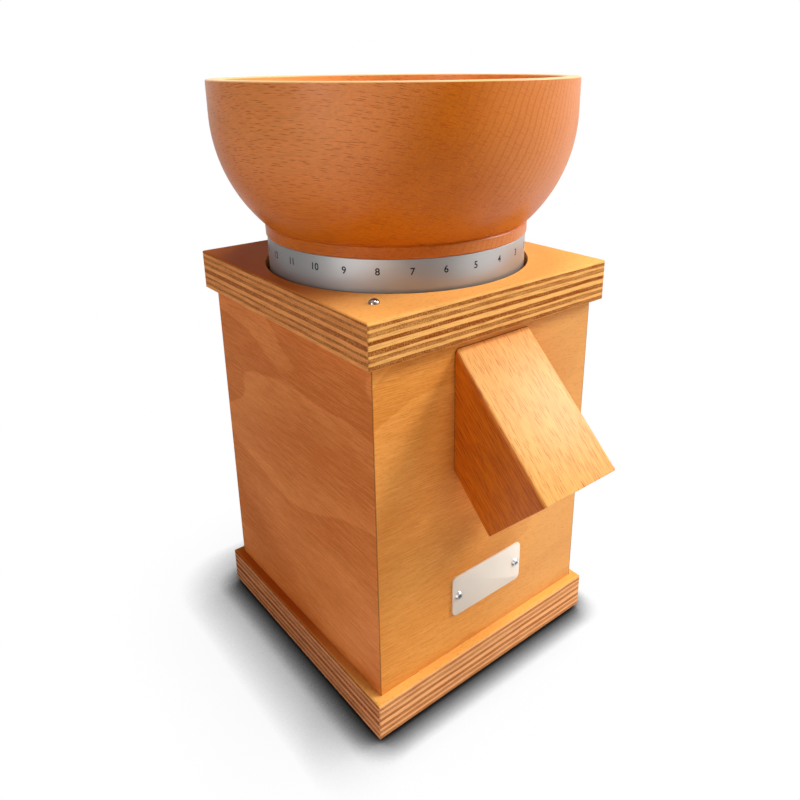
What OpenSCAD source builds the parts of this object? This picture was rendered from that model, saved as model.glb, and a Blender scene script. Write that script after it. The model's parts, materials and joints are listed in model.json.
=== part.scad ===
// Electric grain mill: a motor hangs under a stone mill in a plywood case, and the turned beech
// hopper on top is turned to set the grind. The flour leaves by a slanted chute at the front.
// Millimetres. The origin is at the middle of the base plate's underside, -Y is the front, +Z is up.

/* [Case] */
// Width of the top and base plates
plate_w = 170; // [166:1:180]
// Depth of the top and base plates
plate_d = 176.5; // [172:0.5:186]
// Thickness of the top and base plates
plate_t = 24; // [22:0.5:26]
// How far the plates stand out past the walls
plate_overhang = 5.5; // [4:0.5:6.5]
// Rounding on the edges of the plates
plate_edge_r = 1.5; // [0.5:0.5:3]
// Height of the walls between the plates
wall_h = 197.4; // [196:0.2:210]
// Thickness of the walls
wall_t = 12; // [10:0.5:12]
// Distance of the wall dowels and base screws from the middle of each wall
wall_fixing_x = 45; // [40:1:50]
// Radius of the wooden dowels between the walls and the top plate
dowel_r = 4; // [3:0.5:4.5]
// Length of the wooden dowels
dowel_l = 24; // [16:1:30]
// Length of the wood screws that hold the base plate to the walls
base_screw_l = 45; // [35:1:48]

/* [Feet] */
// Height of the rubber feet
foot_h = 3; // [2:0.5:6]
// Radius of the rubber feet
foot_r = 9; // [7:0.5:12]
// Distance of the feet from the edges of the base plate
foot_inset = 18; // [14:1:24]

/* [Chute] */
// Width of the chute
chute_w = 55.3; // [52:0.1:60]
// Thickness of the chute, square to its slope
chute_t = 52.6; // [50:0.1:56]
// Length of the chute's top edge
chute_len = 89; // [75:1:110]
// Slope of the chute below level
chute_angle = 43.5; // [42:0.5:46]
// Slope of the chute's end cut
chute_end_angle = 45; // [40:0.5:50]
// Rounding on the long edges of the chute
chute_edge_r = 2.5; // [1:0.5:4]
// Distance from the top plate's underside to the chute's top corner
chute_drop = 4; // [3:0.5:5]
// Width of the flour channel
channel_w = 34; // [28:1:36]
// Thickness of the flour channel, square to its slope
channel_t = 30; // [27:0.5:31]

/* [Nameplate] */
// Width of the bare metal plate on the front
nameplate_w = 55; // [50:1:70]
// Height of the bare metal plate
nameplate_h = 26.6; // [22:0.2:34]
// Thickness of the bare metal plate
nameplate_t = 1; // [0.6:0.1:2]
// Corner radius of the bare metal plate
nameplate_r = 3; // [1:0.5:5]
// Height of its middle over the base plate
nameplate_up = 38.5; // [30:0.5:60]
// Distance between its two screws
nameplate_pitch = 46.7; // [40:0.1:50]

/* [Grind scale] */
// Least width of wood between the cut-out and the edges of the top plate
deck_rim = 7.3; // [6.7:0.1:7.9]
// Wall of the scale ring
ring_wall = 3; // [2:0.5:3.5]
// Height of the scale ring over the top plate
ring_up = 17.1; // [16:0.1:20]
// How far the scale ring sinks below the top plate's upper face
ring_sunk = 11; // [8:0.5:14]
// Gap between the scale ring and the cut-out in the top plate
ring_gap = 2.3; // [1.5:0.1:3]
// Radius of the index pin's dome
pin_r = 3; // [2:0.5:4]
// Distance of the index pin from the left edge of the top plate
pin_inset_x = 20; // [18:0.5:22]
// Distance of the index pin from the front edge of the top plate
pin_inset_y = 22.3; // [20:0.1:24]

/* [Hopper] */
// Radius of the bowl at its rim
bowl_r = 101.5; // [98:0.5:108]
// Height of the bowl over the scale ring
bowl_h = 84.5; // [80:0.5:95]
// Radius of the round of the bowl's side
bowl_side_r = 81.7; // [78:0.1:86]
// Height of the straight stretch under the rim
bowl_straight_h = 18; // [12:0.5:24]
// How far the bowl's foot stands out past the scale ring
foot_band_over = 0.6; // [0.2:0.1:1.6]
// Height of the bowl's foot
foot_band_h = 7; // [5:0.5:9]
// Thickness of the bowl's side
bowl_t = 8; // [6:0.5:10]
// Thickness of the bowl's floor at the throat
bowl_floor_t = 10.5; // [9:0.5:13]
// Rise of the bowl's floor from the throat to the side, in degrees
bowl_floor_angle = 8.5; // [6:0.5:14]
// Inner radius of the feed throat
throat_r = 13; // [11:0.5:14]
// Wall of the feed throat
throat_wall = 2.4; // [1.6:0.2:2.6]
// Radius of the throat's flange in the bowl
throat_flange_r = 22; // [20:0.5:26]
// Width of the bars of the finger guard
guard_bar_w = 3; // [2:0.5:4]

/* [Mill] */
// Room between the millstones and the chamber's drum
stone_room = 14; // [13.5:0.5:18]
// Thickness of each millstone
stone_t = 22; // [20:0.5:23]
// Radius of the eye of the upper stone
stone_eye_r = 14; // [12:0.5:15]
// Gap between the stones at rest, with the pin at 8
stone_gap = 0.62; // [0.6:0.02:1]
// Gap between the mill chamber's drum and the walls
chamber_gap = 3.5; // [3:0.1:4]
// Wall of the mill chamber
chamber_wall = 4; // [3:0.5:5]
// Thickness of the mill chamber's floor
chamber_floor_t = 5; // [5:0.5:6]
// Thickness of the mill chamber's flange
flange_t = 4; // [3:0.5:5]
// How far the collar's thread stands out past the inside of the drum
collar_step = 3; // [2.8:0.1:3.4]
// Wall of the threaded collar
collar_wall = 5; // [3:0.5:6]
// Height of the runner stone over the chamber floor
runner_up = 7; // [7:0.5:8]
// Thickness of the plate that holds the upper stone
carrier_t = 6; // [5:0.5:7]
// Gap between the plate that holds the upper stone and the collar
carrier_gap = 2; // [1:0.5:3]
// Radius of the guide pins
guide_r = 3; // [2.5:0.5:3]
// Distance of the guide pins from the inside of the drum
guide_in = 6; // [5.8:0.1:6.5]
// Height of the guide lugs
lug_h = 16; // [12:1:18]
// Height of the guide lugs over the chamber floor
lug_up = 15; // [12:1:16]
// Wire radius of the pressure springs
spring_wire_r = 0.6; // [0.4:0.1:0.7]
// Number of turns of each pressure spring
spring_turns = 5; // [4:1:8]

/* [Motor] */
// How much narrower the motor is than the inside of the drum, on each side
motor_in = 4; // [4:0.5:6]
// Wall of the motor housing
housing_wall = 3; // [2:0.5:4]
// Gap between the cooling fan and the base plate
fan_gap = 6.05; // [6:0.05:14]
// Thickness of each end shield
shield_t = 12; // [12:0.5:13]
// Radius of the rotor
rotor_r = 26.5; // [24:0.5:28]
// Room between the windings and each end of the motor housing
turns_room = 9.5; // [6.5:0.5:14.5]
// Radius of the motor shaft
shaft_r = 7.5; // [7:0.1:8]
// Outer radius of the ball bearings
bearing_r = 17.5; // [17:0.1:18]
// Width of the ball bearings
bearing_w = 11; // [10:0.5:11]
// Radius of the bearing balls
ball_r = 3.2; // [2.8:0.1:3.3]
// Number of balls in each bearing
ball_n = 8; // [6:1:9]
// How much narrower the cooling fan is than the motor, on each side
fan_in = 12; // [10:1:18]
// Number of blades on the cooling fan
fan_blades = 9; // [5:1:12]

/* [Electrics] */
// Sideways place of the switch and the cord gland
back_fittings_x = -42; // [-44:0.5:-40]
// Height of the switch over the base plate
switch_up = 83; // [75:1:90]
// Width of the switch opening in the back wall
switch_w = 13; // [12:0.5:16]
// Height of the switch opening in the back wall
switch_h = 19.2; // [18:0.2:22]
// Half of the angle that the rocker tips through
rocker_tilt = 10; // [6:1:12]
// Height of the cord gland over the base plate
gland_up = 34; // [32:1:40]
// Radius of the cord gland's thread
gland_r = 6; // [5.5:0.5:7]
// Radius of the cord's way through the gland
gland_bore_r = 3.6; // [3:0.1:4.2]
// Radius of the motor capacitor
cap_r = 15; // [12:0.5:15]
// Height of the motor capacitor
cap_h = 70; // [55:1:80]
// Radius of the internal leads
lead_r = 1.4; // [1:0.1:1.6]

/* [Fits] */
// Gap of a piece that is seated in another
seat_gap = 0.05; // [0.03:0.01:0.1]
// Radial gap of a piece that turns or slides in another
running_gap = 0.08; // [0.05:0.01:0.1]

/* [Hidden] */
$fn = 64;
eps = 1;

// Levels
z_wall = plate_t;
z_top = z_wall + wall_h;
z_deck = z_top + plate_t;
z_ring = z_deck + ring_up;
z_rim = z_ring + bowl_h;

// Case
case_w = plate_w - 2 * plate_overhang;
case_d = plate_d - 2 * plate_overhang;
room_w = case_w - 2 * wall_t;
room_d = case_d - 2 * wall_t;
deck_hole_r = min(plate_w, plate_d) / 2 - deck_rim;
ring_r = deck_hole_r - ring_gap;
foot_band_r = ring_r + foot_band_over;
wall_fixings = [
    for (s = [-1, 1]) for (t = [-1, 1]) each [
        [s * wall_fixing_x, t * (case_d - wall_t) / 2],
        [s * (case_w - wall_t) / 2, t * wall_fixing_x],
    ]
];
wood_screw_r = 2;
wood_screw_head_r = 4.2;
round_head_h = 2.4;
small_screw_r = 1.4;
small_screw_head_r = 2.6;
small_head_h = 1.2;
small_head_taper = 0.7;
recess_turn = 20;
hole_spare = 1;
nameplate_grip = 8;
pin_stem_r = 0.6 * pin_r;
pin_stem_l = 8;
pin_sunk = 0.15 * pin_r;
foot_screw_grip = 12;
foot_screw_head_h = 0.8;
foot_recess = 0.45;
foot_hole_spare = 0.4;
foot_places = [
    for (s = [-1, 1]) for (t = [-1, 1])
        [s * (plate_w / 2 - foot_inset), t * (plate_d / 2 - foot_inset)]
];
vent_r = 4;
vent_n = 8;
vent_ring_r = 26;
vent_slot_w = 4;
vent_slot_h = 34;
vent_slot_pitch = 9;
vent_slot_n = 5;
vent_slot_up = 118;
slot_flat = 0.01;

// Chute: its axis starts at the outer face of the front wall
front_y = -case_d / 2;
chute_mid_z = z_top - chute_drop - chute_t / 2 / cos(chute_angle);
chute_tip = [
    front_y - chute_len * cos(chute_angle),
    z_top - chute_drop - chute_len * sin(chute_angle)
];
chute_cut = chute_t / cos(chute_end_angle - chute_angle);
chute_screw_x = (channel_w + chute_w) / 4;
chute_screw_z = [-14, 6];
chute_screw_grip = 20;
chute_screw_l = wall_t + chute_screw_grip;
channel_l = 2.6 * chute_len;
function channel_low(y) =
    chute_mid_z + (y - front_y) * tan(chute_angle) - channel_t / 2 / cos(chute_angle);

// Mill, from the chamber floor up
drum_r = min(room_w, room_d) / 2 - chamber_gap - chamber_wall;
stone_r = drum_r - stone_room;
collar_r = drum_r + collar_step;
carrier_r = collar_r - carrier_gap;
guide_at = drum_r - guide_in;
z_floor = channel_low(-drum_r);
z_chamber = z_floor - chamber_floor_t;
z_runner = z_floor + runner_up;
z_upper = z_runner + stone_t + stone_gap;
z_carrier = z_upper + stone_t;
z_carrier_top = z_carrier + carrier_t;
z_lug = z_floor + lug_up + lug_h;
z_flange = z_top - flange_t;
ring_plate_t = 5.5;
z_ring_plate = z_ring - ring_plate_t;
collar_top_gap = 2;
z_collar = z_ring_plate - collar_top_gap;
ring_plate_r = ring_r - ring_wall - seat_gap;
screw_ring_wall = 7;
slip_gap = 0.05;
lug_r = 6;
lug_angles = [90, 210, 330];
guide_l = 0.75 * lug_h;
flange_margin = 0.25;
flange_screw_inset = 8;
flange_screw_grip = 13;
nozzle_wall = 3;
spring_r = guide_r + spring_wire_r + 0.8;
carrier_screw_n = 3;
carrier_screw_at = (stone_eye_r + stone_r) / 2;
carrier_screw_turn = 30;
carrier_screw_l = 16;
throat_hole_r = throat_r + throat_wall + seat_gap;
throat_flange_t = 2;
throat_lift = 0.5;
hopper_screw_in = 15;
hopper_screw_at = collar_r - hopper_screw_in;
hopper_screw_n = 6;
hopper_screw_l = 15;
bowl_axis_r = bowl_r - bowl_side_r;
bowl_axis_z = z_rim - bowl_straight_h;
bowl_floor_z = z_ring + bowl_floor_t;
bowl_steps = 14;
rim_r = bowl_t * 0.4;

// Motor, from its top down
z_motor = z_chamber;
shaft_low = z_wall + fan_gap;
fan_room = 15;
z_motor_low = shaft_low + fan_room;
z_housing = z_motor_low + shield_t;
housing_l = z_motor - shield_t - z_housing;
motor_r = drum_r - motor_in;
housing_r = motor_r - housing_wall;
core_r = housing_r - seat_gap;
core_z = z_housing + housing_l / 2;
turns_h = 17;
turns_gap = 0.5;
core_l = housing_l - 2 * (turns_h + turns_gap + turns_room);
slot_n = 12;
slot_r = 3.4;
slot_at = (rotor_r + core_r) / 2;
slot_fill_gap = 0.3;
air_gap = 0.5;
turns_w = 14;
turns_round = 4;
turns_r = slot_at + turns_w / 2;
bearing_lip = shield_t - bearing_w;
bearing_z = [z_housing - bearing_w / 2, z_motor - bearing_lip - bearing_w / 2 - seat_gap];
ball_at = (shaft_r + bearing_r) / 2;
race_t = 3;
race_groove = 0.1;
cage_t = 1.6;
cage_h = 0.84 * bearing_w;
shaft_step_r = shaft_r + 1;
hub_r = 12;
hub_plate_r = stone_r - 2;
hub_plate_t = 4;
hub_up = 14;
z_hub = z_runner - hub_plate_t;
z_nut = z_runner + hub_up;
nut_h = 6;
nut_r = 8;
spindle_r = 5;
spindle_over = 1.5;
seal_r = 16;
mount_screw_n = 4;
mount_screw_in = 6;
mount_screw_at = motor_r - mount_screw_in;
mount_screw_turn = 45;
mount_screw_r = 2.5;
mount_screw_head_r = 4.8;
mount_screw_l = 14;
tie_at = motor_r + 4;
tie_r = 2.5;
tie_ear_r = 5;
tie_head_h = 4;
tie_head_r = 4.5;
tie_angles = [90, 210, 330];
fan_t = 1.6;
fan_blade_h = 9;
fan_r = motor_r - fan_in;
fan_hub_r = 10;
end_ring_l = 6;
end_ring_t = 6;
sweeper_w = 4;
sweeper_t = 1.6;
sweeper_gap = 0.6;
sweeper_in = hub_plate_r - 12;
shield_vent_r = 7;
shield_vent_n = 6;
lead_hole_r = 6;
lead_angles = [45, 130];
lead_hole_z = core_z + core_l / 2 + 9;

// Electrics
back_y = case_d / 2;
switch_z = z_wall + switch_up;
bezel_t = 1.6;
bezel_rim = 2;
switch_depth = 16;
rocker_gap = 0.3;
rocker_w = switch_w - 3.4;
rocker_half_h = 6.8;
rocker_end_out = 4.2;
rocker_mid_out = 3;
rocker_back_out = 5;
rocker_pin_r = 1.2;
rocker_pin_wall = 0.6;
rocker_pin_gap = 0.2;
rocker_bevel = 0.8;
rocker_foot = 1;
rocker_room_d = 14;
rocker_room_over = 1.5;
rocker_axis_y = back_y + bezel_t - 3;
switch_back_y = rocker_axis_y + 1 - switch_depth;
tab_l = 6;
tab_w = 4;
tab_t = 0.8;
tab_z = 5;
gland_z = z_wall + gland_up;
gland_flange_r = 9.5;
gland_flange_t = 4;
gland_cap_l = 9;
gland_cap_r = 7.9;
gland_nut_t = 4;
gland_thread_spare = 2;
block_size = [34, 16, 14];
block_in = 18;
block_at = [back_fittings_x, room_d / 2 - block_in];
block_screw_x = 13;
block_screw_grip = 8;
block_recess = 3;
block_head_h = 2;
cap_at = [room_w / 2 - cap_r - 1.6, room_d / 2 - cap_r - 3.5];
cap_stud_r = 4;
cap_stud_l = 12;
lead_gap = 0.4;
lead_out = 6;
lead_apart = 4;
lead_rise = 10;
lead_drop = 13;
lead_in = 2;
lead_aside = 11;
lead_back = 5;
lead_past = 20;
lead_level = 2.5;
lead_turn = 3;
cap_pole = 5;

// ---- Shared shapes ----

// Rectangle about the origin with round corners
module rounded_rect(w, h, r) {
    square([w - 2 * r, h], center = true);
    square([w, h - 2 * r], center = true);
    for (s = [-1, 1]) for (t = [-1, 1])
        translate([s * (w / 2 - r), t * (h / 2 - r)]) circle(r);
}

// Box about the z axis, from z = 0 up, with every edge rounded
module rounded_board(w, d, t, r) {
    intersection() {
        linear_extrude(t) rounded_rect(w, d, r);
        translate([0, d / 2, t / 2]) rotate([90, 0, 0]) linear_extrude(d) rounded_rect(w, t, r);
        translate([-w / 2, 0, t / 2]) rotate([90, 0, 90]) linear_extrude(w) rounded_rect(d, t, r);
    }
}

// Ring about the z axis, from z up by h
module ring(r_out, r_in, z, h) {
    translate([0, 0, z]) difference() {
        cylinder(r = r_out, h = h);
        translate([0, 0, -eps]) cylinder(r = r_in, h = h + 2 * eps);
    }
}

// Countersunk screw: its head's flat face is at z = 0 and its shank runs along +z
module csk_screw(r, head_r, l, gap = 0) {
    cylinder(r1 = head_r + gap, r2 = r + gap, h = head_r - r);
    cylinder(r = r + gap, h = l + gap);
}

// Cross recess in the flat face of a screw head, at z = 0
module cross_recess(head_r) {
    for (a = [0, 90]) rotate([0, 0, a])
        cube([1.2 * head_r, 0.28 * head_r, 0.9 * head_r], center = true);
}

// Countersunk screw with a cross recess
module crosshead_screw(r, head_r, l) {
    difference() {
        csk_screw(r, head_r, l);
        cross_recess(head_r);
    }
}

// Copies at equal angles, the first at angle a0, moved out from the z axis by at
module around(n, at, a0 = 0) {
    for (i = [0 : n - 1]) rotate([0, 0, a0 + 360 / n * i]) translate([at, 0, 0]) children();
}

// Copies at the given angles, moved out from the z axis by at
module at_angles(angles, at) {
    for (a = angles) rotate([0, 0, a]) translate([at, 0, 0]) children();
}

// Children placed in the chute's own frame: -Y runs down the slope from the front wall's face
module on_chute() {
    translate([0, front_y, chute_mid_z]) rotate([chute_angle, 0, 0]) children();
}

// The flour channel's space, or its shell when grow is above 0
module channel(grow = 0) {
    on_chute() translate([0, -chute_len / 2, 0])
        cube([channel_w + 2 * grow, channel_l, channel_t + 2 * grow], center = true);
}

// Children placed at the four corner screws of the mill chamber's flange
module at_flange_corners() {
    for (s = [-1, 1]) for (t = [-1, 1])
        translate([s * (room_w / 2 - flange_screw_inset), t * (room_d / 2 - flange_screw_inset), 0])
            children();
}

// Closed tube of radius r along points: each section's first spoke follows on from the last one's
function unit(v) = v / norm(v);
function heading(p, i) = unit(p[min(i + 1, len(p) - 1)] - p[max(i - 1, 0)]);
function square_to(v, d) = unit(v - (v * d) * d);
function circle_about(c, d, u, r, n) =
    let (v = cross(d, u))
    [for (k = [0 : n - 1]) c + r * (cos(360 * k / n) * u + sin(360 * k / n) * v)];
module tube(points, r, sides = 8) {
    last = len(points) - 1;
    spokes = [
        for (
            i = 0, u = square_to([1, 0, 0], heading(points, 0));
            i <= last;
            i = i + 1, u = square_to(u, heading(points, min(i, last)))
        ) u
    ];
    rings = [
        for (i = [0 : last]) each circle_about(points[i], heading(points, i), spokes[i], r, sides)
    ];
    sleeve = [
        for (i = [0 : last - 1]) for (k = [0 : sides - 1])
            let (a = i * sides, b = a + sides, next = (k + 1) % sides)
            each [[a + k, b + k, b + next], [a + k, b + next, a + next]]
    ];
    start_cap = [[for (k = [0 : sides - 1]) k]];
    end_cap = [[for (k = [sides - 1 : -1 : 0]) last * sides + k]];
    polyhedron(rings, concat(start_cap, sleeve, end_cap), convexity = 6);
}

// Smooth route through hand-chosen points, four steps a stretch
function blend(a, b, c, d, t) =
    0.5 * (2 * b + (c - a) * t + (2 * a - 5 * b + 4 * c - d) * t * t
        + (3 * b - a - 3 * c + d) * t * t * t);
function route(p, steps = 4) =
    let (n = len(p) - 1)
    [
        for (i = [0 : n - 1]) for (s = [0 : steps - 1])
            blend(p[max(i - 1, 0)], p[i], p[i + 1], p[min(i + 2, n)], s / steps),
        p[n]
    ];

// Compression spring about the z axis
module coil_spring(r, wire_r, l, turns, steps = 10) {
    rise = l - 2 * wire_r;
    tube(
        [
            for (i = [0 : turns * steps])
                [r * cos(360 * i / steps), r * sin(360 * i / steps), wire_r + rise * i / turns / steps]
        ],
        wire_r, 6
    );
}

// ---- Case ----

module base_plate() {
    color("burlywood") difference() {
        rounded_board(plate_w, plate_d, plate_t, plate_edge_r);
        for (p = wall_fixings) translate(p)
            csk_screw(wood_screw_r, wood_screw_head_r, plate_t + eps, seat_gap);
        for (p = foot_places) translate([p.x, p.y, -eps])
            cylinder(r = small_screw_r + seat_gap, h = foot_screw_grip + eps + seat_gap);
        translate([0, 0, -eps]) around(vent_n, vent_ring_r) cylinder(r = vent_r, h = plate_t + 2 * eps);
        translate([cap_at.x, cap_at.y, z_wall - cap_stud_l - seat_gap])
            cylinder(r = cap_stud_r + seat_gap, h = cap_stud_l + eps);
        at_block_screws() translate([0, 0, -block_screw_grip - hole_spare])
            cylinder(r = small_screw_r + seat_gap, h = block_screw_grip + hole_spare + eps);
    }
}

module top_plate() {
    color("burlywood") difference() {
        translate([0, 0, z_top]) rounded_board(plate_w, plate_d, plate_t, plate_edge_r);
        translate([0, 0, z_top - eps]) cylinder(r = deck_hole_r, h = plate_t + 2 * eps);
        for (p = wall_fixings) translate([p.x, p.y, z_top - eps])
            cylinder(r = dowel_r + seat_gap, h = dowel_l / 2 + eps + seat_gap);
        at_flange_corners() translate([0, 0, z_top - eps])
            cylinder(r = wood_screw_r + seat_gap, h = flange_screw_grip + hole_spare + eps);
        at_index_pin() translate([0, 0, -pin_stem_l - seat_gap])
            cylinder(r = pin_stem_r + seat_gap, h = pin_stem_l + eps);
    }
}

// One mitred wall on the -Y side of a box w wide and d deep, with its screw and dowel holes
module wall(w, d) {
    difference() {
        translate([0, 0, z_wall]) linear_extrude(wall_h) polygon([
            [-w / 2, -d / 2],
            [w / 2, -d / 2],
            [w / 2 - wall_t, wall_t - d / 2],
            [wall_t - w / 2, wall_t - d / 2]
        ]);
        for (s = [-1, 1]) translate([s * wall_fixing_x, (wall_t - d) / 2, 0]) {
            translate([0, 0, z_wall - eps])
                cylinder(r = wood_screw_r + seat_gap, h = base_screw_l - plate_t + eps + seat_gap);
            translate([0, 0, z_top - dowel_l / 2 - seat_gap])
                cylinder(r = dowel_r + seat_gap, h = dowel_l / 2 + eps + seat_gap);
        }
    }
}

module front_wall() {
    color("peru") difference() {
        wall(case_w, case_d);
        channel();
        at_chute_screws() csk_screw(wood_screw_r, wood_screw_head_r, wall_t + eps, seat_gap);
        at_nameplate_screws() translate([0, 0, -eps])
            cylinder(r = small_screw_r + seat_gap, h = nameplate_grip + hole_spare + eps);
    }
}

module back_wall() {
    color("peru") difference() {
        rotate([0, 0, 180]) wall(case_w, case_d);
        translate([back_fittings_x, back_y, switch_z])
            cube([switch_w + 2 * seat_gap, 3 * wall_t, switch_h + 2 * seat_gap], center = true);
        at_gland() translate([0, 0, -wall_t - eps])
            cylinder(r = gland_r + seat_gap, h = wall_t + 2 * eps);
        for (i = [0 : vent_slot_n - 1])
            translate([(i - (vent_slot_n - 1) / 2) * vent_slot_pitch, back_y, z_wall + vent_slot_up])
                rotate([90, 0, 0]) translate([0, 0, -eps]) linear_extrude(wall_t + 2 * eps)
                    rounded_rect(vent_slot_w, vent_slot_h, vent_slot_w / 2 - slot_flat);
    }
}

module left_wall() {
    color("chocolate") rotate([0, 0, -90]) wall(case_d, case_w);
}

module right_wall() {
    color("chocolate") rotate([0, 0, 90]) wall(case_d, case_w);
}

module wall_dowels() {
    color("wheat") for (p = wall_fixings) translate([p.x, p.y, z_top - dowel_l / 2])
        cylinder(r = dowel_r, h = dowel_l);
}

module base_screws() {
    color("gray") for (p = wall_fixings) translate(p)
        crosshead_screw(wood_screw_r, wood_screw_head_r, base_screw_l);
}

module rubber_feet() {
    color("dimgray") for (p = foot_places) translate([p.x, p.y, -foot_h]) difference() {
        cylinder(r = foot_r, h = foot_h);
        translate([0, 0, -eps]) cylinder(r = small_screw_r + seat_gap, h = foot_h + 2 * eps);
        translate([0, 0, -eps])
            cylinder(r = small_screw_head_r + foot_hole_spare, h = foot_h * foot_recess + eps);
    }
}

module foot_screws() {
    color("gray") for (p = foot_places) translate([p.x, p.y, foot_h * (foot_recess - 1)]) {
        cylinder(r = small_screw_r, h = foot_h * (1 - foot_recess) + foot_screw_grip);
        translate([0, 0, -foot_screw_head_h]) cylinder(r = small_screw_head_r, h = foot_screw_head_h);
    }
}

module at_index_pin() {
    translate([pin_inset_x - plate_w / 2, pin_inset_y - plate_d / 2, z_deck]) children();
}

module index_pin() {
    color("silver") at_index_pin() {
        intersection() {
            translate([0, 0, -pin_sunk]) sphere(r = pin_r);
            cylinder(r = pin_r, h = pin_r);
        }
        translate([0, 0, -pin_stem_l]) cylinder(r = pin_stem_r, h = pin_stem_l + 2 * pin_sunk);
    }
}

// ---- Chute and nameplate ----

module at_chute_screws() {
    for (s = [-1, 1]) for (z = chute_screw_z)
        translate([s * chute_screw_x, front_y + wall_t, chute_mid_z + z]) rotate([90, 0, 0]) children();
}

module chute() {
    tip_low = chute_tip + chute_cut * [sin(chute_end_angle), -cos(chute_end_angle)];
    color("sandybrown") difference() {
        intersection() {
            on_chute() translate([0, chute_t, 0]) rotate([90, 0, 0])
                linear_extrude(chute_len + 3 * chute_t) rounded_rect(chute_w, chute_t, chute_edge_r);
            translate([-chute_w, 0, 0]) rotate([90, 0, 90]) linear_extrude(2 * chute_w) polygon([
                [front_y, z_top - chute_drop + eps],
                chute_tip + eps * [-sin(chute_end_angle), cos(chute_end_angle)],
                tip_low + eps * [sin(chute_end_angle), -cos(chute_end_angle)],
                [front_y, z_top - chute_drop - chute_t / cos(chute_angle) - 2 * eps]
            ]);
        }
        channel();
        at_chute_screws() cylinder(r = wood_screw_r + seat_gap, h = chute_screw_l + seat_gap);
    }
}

module chute_screws() {
    color("gray") at_chute_screws() crosshead_screw(wood_screw_r, wood_screw_head_r, chute_screw_l);
}

module at_nameplate_screws() {
    for (s = [-1, 1]) translate([s * nameplate_pitch / 2, front_y, z_wall + nameplate_up])
        rotate([-90, 0, 0]) children();
}

module nameplate() {
    color("silver") difference() {
        translate([0, front_y, z_wall + nameplate_up]) rotate([90, 0, 0]) linear_extrude(nameplate_t)
            rounded_rect(nameplate_w, nameplate_h, nameplate_r);
        at_nameplate_screws() translate([0, 0, -nameplate_t - eps])
            cylinder(r = small_screw_r + seat_gap, h = nameplate_t + 2 * eps);
    }
}

module nameplate_screws() {
    color("silver") at_nameplate_screws() translate([0, 0, -nameplate_t - small_head_h]) difference() {
        union() {
            cylinder(r = small_screw_r, h = small_head_h + nameplate_t + nameplate_grip);
            cylinder(r1 = small_head_taper * small_screw_head_r, r2 = small_screw_head_r, h = small_head_h);
        }
        rotate([0, 0, recess_turn]) cross_recess(small_screw_head_r);
    }
}

// ---- Hopper: all of this turns together ----

function bowl_side(r, z) = bowl_axis_r + sqrt(r * r - pow(z - bowl_axis_z, 2));
module hopper_bowl() {
    inner_r = bowl_side_r - bowl_t;
    z_low = z_ring + foot_band_h;
    floor_run = tan(bowl_floor_angle);
    // where the sloping floor meets the round of the side, measured along the round
    side_low_z = bowl_floor_z + floor_run * (foot_band_r - throat_r);
    outer = [
        for (i = [0 : bowl_steps]) let (z = z_low + (bowl_axis_z - z_low) * i / bowl_steps)
            [bowl_side(bowl_side_r, z), z]
    ];
    inner = [
        for (i = [bowl_steps : -1 : 0]) let (z = side_low_z + (bowl_axis_z - side_low_z) * i / bowl_steps)
            [bowl_side(inner_r, z), z]
    ];
    color("chocolate") difference() {
        rotate_extrude() difference() {
            union() {
                polygon(concat(
                    [[0, z_ring], [foot_band_r, z_ring], [foot_band_r, z_low]],
                    outer,
                    [[bowl_r, z_rim - rim_r], [bowl_r - bowl_t, z_rim - rim_r]],
                    inner,
                    [[0, bowl_floor_z]]
                ));
                translate([bowl_r - bowl_t + rim_r, z_rim - rim_r]) circle(rim_r);
                translate([bowl_r - rim_r, z_rim - rim_r]) circle(rim_r);
                translate([bowl_r - bowl_t + rim_r, z_rim - 2 * rim_r])
                    square([bowl_t - 2 * rim_r, 2 * rim_r]);
            }
            translate([-1, z_ring - eps]) square([throat_hole_r + 1, bowl_h]);
            translate([-1, bowl_floor_z - seat_gap])
                square([throat_flange_r + seat_gap + 1, bowl_h]);
        }
        around(hopper_screw_n, hopper_screw_at) translate([0, 0, z_ring - eps])
            cylinder(r = wood_screw_r + seat_gap, h = hopper_screw_l - ring_plate_t + eps + seat_gap);
    }
}

module feed_throat() {
    z_low = z_carrier_top + throat_lift;
    color("white") {
        ring(throat_r + throat_wall, throat_r, z_low, bowl_floor_z - z_low + throat_flange_t);
        ring(throat_flange_r, throat_r + throat_wall / 2, bowl_floor_z, throat_flange_t);
        for (a = [0, 90]) rotate([0, 0, a])
            translate([-throat_r - throat_wall / 2, -guard_bar_w / 2, bowl_floor_z - guard_bar_w])
                cube([2 * throat_r + throat_wall, guard_bar_w, guard_bar_w + throat_flange_t]);
    }
}

module screw_ring() {
    thread_r = collar_r - running_gap;
    color("slategray") difference() {
        union() {
            ring(thread_r, thread_r - screw_ring_wall, z_carrier_top + slip_gap,
                z_ring_plate - z_carrier_top);
            ring(ring_plate_r, throat_hole_r, z_ring_plate, ring_plate_t);
        }
        around(hopper_screw_n, hopper_screw_at) translate([0, 0, z_ring_plate - eps])
            cylinder(r = wood_screw_r + seat_gap, h = ring_plate_t + 2 * eps);
    }
}

module scale_ring() {
    color("lightgray") ring(ring_r, ring_r - ring_wall, z_deck - ring_sunk, ring_up + ring_sunk);
}

module hopper_screws() {
    color("gray") around(hopper_screw_n, hopper_screw_at)
        translate([0, 0, z_ring_plate - round_head_h]) difference() {
            union() {
                cylinder(r = wood_screw_r, h = round_head_h + hopper_screw_l);
                cylinder(r = wood_screw_head_r, h = round_head_h);
            }
            cross_recess(wood_screw_head_r);
        }
}

// ---- Upper stone: held from turning, it rises and falls ----

module at_carrier_screws() {
    around(carrier_screw_n, carrier_screw_at, carrier_screw_turn) children();
}

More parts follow.
